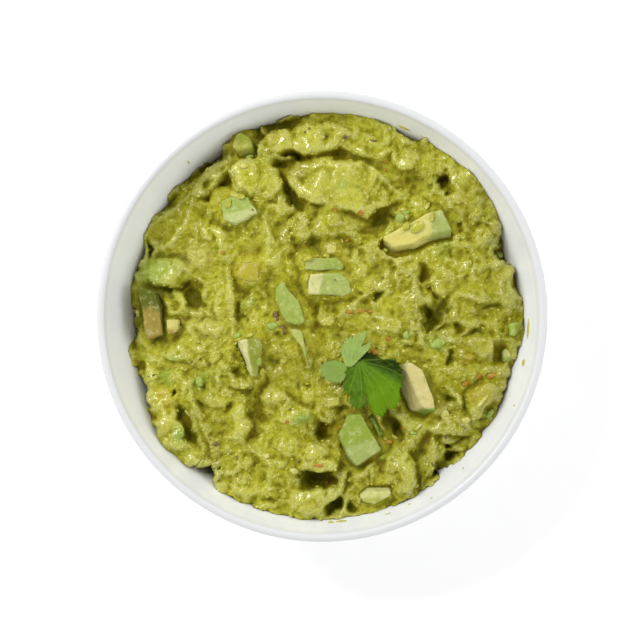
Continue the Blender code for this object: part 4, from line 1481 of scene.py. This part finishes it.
# %% Leaf paint
def leaf_paint():
    paint = Paint("coriander")
    mottle = paint.speckle(1.6, 3, 0.6)
    cells = paint.speckle(0.35, 1, 0.5)
    green = paint.mix(mottle.above(0.35, 0.65), (0.056, 0.122, 0.004), (0.082, 0.165, 0.007))
    green = paint.mix(paint.attribute("lime") * mottle.above(0.1, 0.5), green, (0.112, 0.222, 0.002))
    green = paint.mix(paint.attribute("tone"), green, (0.300, 0.400, 0.105))
    green = paint.mix(paint.attribute("shade") * 0.9, green, (0.008, 0.018, 0.0003))
    green = paint.mix(paint.attribute("vein") * 0.35, green, (0.180, 0.330, 0.020))
    paint.set(Base_Color=green, Roughness=0.45 + mottle * 0.2, Specular_IOR_Level=0.08)
    paint.set(Normal=paint.bump(cells, 0.05, 0.5))
    paint.set(Subsurface_Weight=0.15, Subsurface_Radius=(0.5, 1.0, 0.1), Subsurface_Scale=0.001)
    return paint.material


# %% Make the leaf
LEAF_TOP = 56.8
BLADE = 0.22
leaf_points, leaf_faces, leaf_masks = leaf_arrays()
leaf_points[:, 2] = np.minimum(leaf_points[:, 2], LEAF_TOP)
leaf = mesh_object("coriander", leaf_points, leaf_faces, leaf_paint())
for mask_name, mask in leaf_masks.items():
    store(leaf, mask_name, mask)


def facing_up(obj):
    """Turns every face of an open sheet so that it looks up."""
    bm = bmesh.new()
    bm.from_mesh(obj.data)
    bm.normal_update()
    bmesh.ops.reverse_faces(bm, faces=[face for face in bm.faces if face.normal.z < 0])
    bm.to_mesh(obj.data)
    bm.free()


facing_up(leaf)
blade = leaf.modifiers.new("blade", "SOLIDIFY")
blade.thickness = BLADE * MM
blade.offset = -1
applied(leaf)
settle(leaf, "coriander", "coriander_leaf")

# %% [markdown]
# ## Small toppings
# Things too small for CAD: dark brown specks, orange red flecks of tomato, green bits of avocado
# and herb, pale bits and strands, dabs and crumbs of mash, and mash thrown on the wall. Each is
# a small lump of its own shape, so one round lump is instanced on a mesh of bare points that
# carry a size and a turn, and noise then makes every copy different. A Geometry Nodes tree does
# that, with its amounts as named inputs.


# %% Node tree helper
class Growth:
    """A Geometry Nodes tree with named inputs, every node of which comes from one method."""

    def __init__(self, name, **inputs):
        self.tree = bpy.data.node_groups.new(name, "GeometryNodeTree")
        face = self.tree.interface
        face.new_socket("Geometry", in_out="INPUT", socket_type="NodeSocketGeometry")
        face.new_socket("Geometry", in_out="OUTPUT", socket_type="NodeSocketGeometry")
        self.given = {}
        for label, value in inputs.items():
            kind = "NodeSocketInt" if isinstance(value, int) else "NodeSocketFloat"
            socket = face.new_socket(label, in_out="INPUT", socket_type=kind)
            self.given[socket.identifier] = value
        self.outside = self.tree.nodes.new("NodeGroupInput").outputs
        self.result = self.tree.nodes.new("NodeGroupOutput").inputs[0]

    def node(self, kind, settings, values):
        made = self.tree.nodes.new(kind)
        for name, value in settings.items():
            setattr(made, name, value)
        for name, value in values.items():
            if isinstance(value, bpy.types.NodeSocket):
                self.tree.links.new(value, made.inputs[name])
            else:
                made.inputs[name].default_value = value
        return made.outputs

    def named(self, name):
        settings = {"data_type": "FLOAT_VECTOR"}
        return self.node("GeometryNodeInputNamedAttribute", settings, {"Name": name})[0]

    def grow(self, obj, geometry, material):
        """Roughens the geometry, gives it the material and leaves it as the object's mesh."""
        spot = self.node("GeometryNodeInputPosition", {}, {})[0]
        facing = self.node("GeometryNodeInputNormal", {}, {})[0]
        waves = self.node(
            "ShaderNodeTexNoise", {}, {"Vector": spot, "Scale": self.outside["waves"], "Detail": 2.0}
        )[0]
        raised = self.node("ShaderNodeMath", {"operation": "SUBTRACT"}, {0: waves, 1: 0.5})[0]
        amount = {0: raised, 1: self.outside["depth"]}
        length = self.node("ShaderNodeMath", {"operation": "MULTIPLY"}, amount)[0]
        push = self.node("ShaderNodeVectorMath", {"operation": "SCALE"}, {0: facing, 3: length})[0]
        moved = self.node("GeometryNodeSetPosition", {}, {"Geometry": geometry, "Offset": push})[0]
        smooth = self.node("GeometryNodeSetShadeSmooth", {}, {"Geometry": moved})[0]
        painted = {"Geometry": smooth, "Material": material}
        self.tree.links.new(self.node("GeometryNodeSetMaterial", {}, painted)[0], self.result)
        modifier = obj.modifiers.new("growth", "NODES")
        modifier.node_group = self.tree
        for identifier, value in self.given.items():
            modifier[identifier] = value
        applied(obj)
        return obj


def lumps_on_points(name, places, sizes, turns, material, depth=0.5, fineness=2):
    """One lump for each place, with its three sizes in millimetres and its turn in radians."""
    mesh = bpy.data.meshes.new(name)
    mesh.from_pydata(np.asarray(places, float) * MM, [], [])
    for label, values in (("lump_size", np.asarray(sizes) * MM), ("lump_turn", np.asarray(turns))):
        column = mesh.attributes.new(label, "FLOAT_VECTOR", "POINT")
        column.data.foreach_set("vector", values.astype(np.float32).ravel())
    obj = bpy.data.objects.new(name, mesh)
    bpy.context.scene.collection.objects.link(obj)
    growth = Growth(name, waves=900.0, depth=depth * MM, fineness=fineness)
    ball = {"Radius": 0.5, "Subdivisions": growth.outside["fineness"]}
    lump = growth.node("GeometryNodeMeshIcoSphere", {}, ball)[0]
    turn = growth.node("FunctionNodeEulerToRotation", {}, {0: growth.named("lump_turn")})[0]
    copies = {
        "Points": growth.outside["Geometry"], "Instance": lump, "Rotation": turn,
        "Scale": growth.named("lump_size"),
    }
    copies = growth.node("GeometryNodeInstanceOnPoints", {}, copies)[0]
    real = growth.node("GeometryNodeRealizeInstances", {}, {"Geometry": copies})[0]
    return growth.grow(obj, real, material)


# %% Topping paint
def topping_paint(name, deep, plain, bright, gloss=0.35, size=1.4):
    paint = Paint(name)
    tint = paint.speckle(size, 3, 0.6)
    grain = paint.speckle(0.3, 2, 0.6)
    colour = paint.mix(tint.above(0.30, 0.50), deep, plain)
    colour = paint.mix(tint.above(0.52, 0.70), colour, bright)
    colour = paint.mix(grain.above(0.60, 0.70) * 0.35, colour, bright)
    paint.set(Base_Color=colour, Roughness=gloss + grain * 0.25, Specular_IOR_Level=0.3)
    paint.set(Normal=paint.bump(grain, 0.10, 0.7))
    paint.set(Subsurface_Weight=0.1, Subsurface_Radius=(1.0, 0.6, 0.2), Subsurface_Scale=0.0010)
    return paint.material


# %% Placed toppings
Bit = namedtuple("Bit", "x y length width turn")
BROWN_BITS = (
    Bit(-15.9, 0.6, 2.0, 2.4, 20), Bit(-15.2, -1.2, 1.6, 1.2, 60), Bit(-13.3, -3.6, 1.8, 1.5, 0),
    Bit(-13.0, -5.6, 1.0, 1.4, 0), Bit(7.9, 60.9, 1.5, 1.8, 0), Bit(-4.2, 63.9, 0.9, 0.9, 0),
    Bit(-5.6, 62.6, 0.8, 1.0, 0), Bit(1.6, 61.5, 1.2, 1.0, 0), Bit(17.7, 59.7, 2.8, 0.8, -10),
    Bit(-36.5, -43.6, 1.9, 1.7, 30), Bit(-29.3, -48.3, 0.9, 1.4, 0), Bit(-18, -33.5, 0.9, 0.7, 0),
    Bit(-10.8, -31.7, 1.0, 0.8, 0), Bit(-8, -49.7, 1.2, 0.7, 0), Bit(53.8, -35.3, 0.9, 0.9, 0),
    Bit(41.3, -24.3, 0.8, 0.7, 0), Bit(42.1, -41.4, 1.0, 1.3, 0), Bit(13.4, -63.3, 0.7, 0.7, 0),
    Bit(20.8, 13.2, 0.8, 0.7, 0), Bit(-23.5, 36.2, 0.9, 0.6, 0), Bit(9.5, 27.2, 0.8, 0.6, 0),
    Bit(-38.2, -16.6, 0.8, 0.6, 0), Bit(4.6, 12.4, 0.6, 0.6, 0), Bit(34.2, 46.8, 0.9, 0.7, 0),
)
RED_BITS = (
    Bit(12.7, 35.4, 3.8, 2.0, -25), Bit(4.8, 36.0, 1.0, 1.9, 10), Bit(57.9, -20.1, 3.6, 2.2, 25),
    Bit(22.3, -7.7, 2.6, 1.8, -30), Bit(17.8, -12.2, 2.8, 2.0, -40), Bit(-1.0, -50.8, 3.4, 1.5, 0),
    Bit(9.4, 1.3, 3.4, 1.0, -5), Bit(13.4, 1.7, 3.2, 1.1, 10), Bit(16.9, 1.6, 2.2, 0.9, 0),
    Bit(26.4, 14.1, 0.8, 0.8, 0), Bit(21.6, 49.8, 0.9, 0.9, 0), Bit(21.5, 52.5, 1.2, 0.9, 0),
    Bit(-11.8, -36.0, 1.8, 1.3, 0), Bit(6.4, -37.8, 2.0, 0.9, 25), Bit(1.5, -57.2, 1.1, 0.9, 0),
    Bit(22.6, -43.0, 3.6, 1.5, 5), Bit(27.9, -38.1, 1.4, 1.8, 0), Bit(49.0, -23.0, 2.8, 1.4, 10),
    Bit(53.6, -20.6, 2.4, 1.4, 20), Bit(-33.8, 21.8, 1.2, 0.9, 0), Bit(8.6, 25.8, 1.6, 1.0, 20),
)
GREEN_BITS = (
    Bit(26.6, 33.4, 3.6, 3.2, 40), Bit(28.6, 35.2, 2.0, 1.6, 0), Bit(-28.9, -6.6, 2.8, 2.2, 20),
    Bit(-21.2, -15.6, 2.2, 2.8, 0), Bit(-48.2, -40.0, 2.6, 4.4, -25), Bit(31.5, -40.0, 2.6, 1.4, 0),
    Bit(60.6, 21.4, 3.0, 3.6, 20), Bit(28.6, -6.4, 2.2, 2.8, 0), Bit(-17.0, -3.2, 4.0, 2.6, 10),
    Bit(39.4, -9.4, 5.6, 3.0, 15), Bit(-24.8, 54.4, 2.6, 1.2, 10), Bit(12.2, 44.0, 1.4, 1.0, 0),
    Bit(-7.2, -34.6, 3.4, 1.6, -15), Bit(-42.0, -22.4, 2.6, 3.6, 10), Bit(57.4, -33.4, 1.8, 3.6, -30),
)
PALE_BITS = (
    Bit(41.9, -33.6, 3.0, 3.6, 10), Bit(49.2, -35.4, 3.4, 2.0, 5), Bit(-27.6, 44.6, 1.8, 2.4, 0),
    Bit(28.9, 8.0, 2.4, 1.4, 30), Bit(24.8, -41.6, 3.0, 1.2, -35), Bit(32.2, -58.0, 2.2, 1.2, 25),
    Bit(-19.0, -47.8, 2.2, 1.6, 0), Bit(-9.5, -53.0, 3.2, 2.2, -20), Bit(33.0, -37.6, 4.0, 1.3, 42),
    Bit(54.5, -29.0, 6.0, 1.2, 48), Bit(-26.6, 51.0, 2.6, 1.8, 0), Bit(36.0, 37.6, 1.2, 3.0, -30),
    Bit(46.6, -28.2, 1.3, 4.4, 20), Bit(-46.0, -33.5, 1.2, 3.6, 25), Bit(21.5, 22.6, 1.8, 1.4, 0),
    Bit(-64.2, 1.0, 1.6, 2.6, 0), Bit(24.4, 64.0, 1.4, 2.4, 30), Bit(34.0, 62.6, 1.6, 2.8, -20),
)
DOLLOPS = (
    Bit(32.4, 30.2, 5.5, 3.2, 35), Bit(28.6, 30.4, 3.2, 2.2, 70), Bit(37.6, 33.4, 3.0, 1.2, 80),
    Bit(-29.6, 41.6, 4.6, 2.8, -30), Bit(-31.9, 38.4, 3.4, 2.2, 70), Bit(-27.4, 40.6, 2.6, 1.8, 10),
    Bit(-4.6, 19.6, 3.4, 2.0, 20), Bit(1.6, 20.4, 2.6, 1.6, -20), Bit(-5.2, 13.2, 2.4, 3.0, 0),
    Bit(-24.6, -6.6, 3.0, 1.8, 20), Bit(17.8, -28.6, 2.2, 3.2, 10),
    Bit(-20.4, -19.0, 2.0, 2.8, -20), Bit(45.8, -16.6, 1.6, 2.6, 20), Bit(22.6, -56.0, 3.2, 2.0, 30),
)


BIT_TOP = 56.6


def strewn(name, slot, bits, thick, material, depth=0.7):
    """The bits pressed a little into the surface that is under each of them."""
    x, y, length, width, turn = np.array(bits).T
    z = np.minimum(sampled(filled, x, y) + 0.14 * thick + 0.08, BIT_TOP - 0.5 * thick)
    slope_x, slope_y = sampled(lean_x, x, y), sampled(lean_y, x, y)
    turns = np.column_stack([np.arctan(slope_y), -np.arctan(slope_x), np.radians(turn)])
    sizes = np.column_stack([length, width, np.full(len(x), thick)])
    made = lumps_on_points(name, np.column_stack([x, y, z]), sizes, turns, material, depth, 3)
    return settle(made, slot)


lean_y, lean_x = np.clip(np.gradient(blurred(filled, 1.2), STEP), -0.9, 0.9)
strewn("brown_specks", "guacamole", BROWN_BITS, 0.8,
       topping_paint("brown specks", (0.095, 0.062, 0.022), (0.180, 0.115, 0.045), (0.30, 0.22, 0.10)))
strewn("tomato_flecks", "guacamole", RED_BITS, 0.8,
       topping_paint("tomato", (0.300, 0.150, 0.010), (0.430, 0.200, 0.018), (0.54, 0.38, 0.06), 0.28))
strewn("green_bits", "avocado_green", GREEN_BITS, 1.3,
       topping_paint("green bits", (0.220, 0.300, 0.026), (0.320, 0.410, 0.070), (0.45, 0.52, 0.150)), 1.0)
strewn("mash_dollops", "guacamole", DOLLOPS, 1.5,
       topping_paint("mash dollops", (0.340, 0.330, 0.020), (0.440, 0.430, 0.045), (0.60, 0.58, 0.16)), 1.3)
strewn("pale_bits", "guacamole", PALE_BITS, 1.3,
       topping_paint("pale bits", (0.420, 0.400, 0.040), (0.560, 0.540, 0.120), (0.72, 0.69, 0.32)))

# %% [markdown]
# Fine crumbs of mash lie all over the rough places. They are scattered on a copy of the dip's
# surface by its `grain` attribute, which is highest on rough crests and zero in the gaps.

# %% Crumbs
CRUMBS_PER_SQUARE_CM = 14.0
CRUMB_SEED = 5
CRUMB_RADIUS = 66
CRUMB_TOP = 55.4
SMALLEST, LARGEST = (0.0006, 0.0005, 0.0004), (0.0017, 0.0012, 0.0009)


def scatter_crumbs():
    mesh = bpy.data.meshes.new("mash_crumbs")
    mesh.from_pydata(dip_points[:top_count] * MM, [], dip_faces[:GRID * GRID])
    obj = bpy.data.objects.new("mash_crumbs", mesh)
    bpy.context.scene.collection.objects.link(obj)
    x, y, z = dip_points[:top_count].T
    grain = sampled(rough, x, y) * np.clip(1 - 1.6 * crease_shade[:top_count], 0, 1)
    inside = (np.hypot(x, y) < CRUMB_RADIUS) & (z < CRUMB_TOP)
    store(obj, "grain", grain * inside)
    growth = Growth("mash crumbs", waves=1100.0, depth=0.0006, most=1e4 * CRUMBS_PER_SQUARE_CM,
                    seed=CRUMB_SEED)
    share = growth.node("GeometryNodeInputNamedAttribute", {"data_type": "FLOAT"}, {"Name": "grain"})[0]
    density = growth.node(
        "ShaderNodeMath", {"operation": "MULTIPLY"}, {0: share, 1: growth.outside["most"]}
    )[0]
    spots = growth.node("GeometryNodeDistributePointsOnFaces", {}, {
        "Mesh": growth.outside["Geometry"], "Density": density, "Seed": growth.outside["seed"],
    })
    size = growth.node("FunctionNodeRandomValue", {"data_type": "FLOAT_VECTOR"}, {
        "Min": SMALLEST, "Max": LARGEST,
    })[0]
    ball = growth.node("GeometryNodeMeshIcoSphere", {}, {"Radius": 0.5, "Subdivisions": 2})[0]
    copies = {"Points": spots[0], "Instance": ball, "Rotation": spots["Rotation"], "Scale": size}
    copies = growth.node("GeometryNodeInstanceOnPoints", {}, copies)[0]
    real = growth.node("GeometryNodeRealizeInstances", {}, {"Geometry": copies})[0]
    material = topping_paint("mash crumbs", (0.36, 0.35, 0.020), (0.47, 0.47, 0.055), (0.66, 0.64, 0.22))
    return settle(growth.grow(obj, real, material), "guacamole")


scatter_crumbs()

# %% [markdown]
# Thin smears of mash on the bowl's inside, above the fill. Each is a flat lump that stands
# against the wall: its place is an angle about the bowl's axis and a depth below the rim.

# %% Wall smears
SMEAR_THICKNESS = 0.40
Smear = namedtuple("Smear", "angle depth across down")
SMEARS = (
    Smear(-3.5, 10.6, 7.0, 1.2), Smear(-13, 10.4, 2.4, 1.4), Smear(66.5, 11.2, 5.0, 1.0),
    Smear(-87.5, 10.2, 2.2, 0.8), Smear(-84.6, 10.4, 3.8, 1.0), Smear(-71.5, 8.6, 2.4, 0.4),
    Smear(-58.8, 5.0, 1.2, 0.5), Smear(-24.8, 5.4, 0.5, 1.0), Smear(-65, 9.6, 1.0, 0.6),
    Smear(-47, 9.6, 0.9, 0.6), Smear(131, 11.6, 0.6, 1.6),
)


def smear_the_wall():
    angle, depth, across, down = np.array(SMEARS).T
    radius = inner_radius(depth) - 0.10
    fall = np.arctan(inner_radius(depth - 0.5) - inner_radius(depth + 0.5))
    turn = np.radians(angle)
    places = np.column_stack([radius * np.cos(turn), radius * np.sin(turn), HEIGHT - depth])
    sizes = np.column_stack([np.full(len(angle), SMEAR_THICKNESS), across, 1.7 * down])
    turns = np.column_stack([np.zeros(len(angle)), fall, turn])
    material = topping_paint("wall smears", (0.42, 0.40, 0.05), (0.54, 0.52, 0.10), (0.64, 0.62, 0.22))
    made = lumps_on_points("wall_smears", places, sizes, turns, material, 0.25, 3)
    return settle(made, "guacamole")


smear_the_wall()
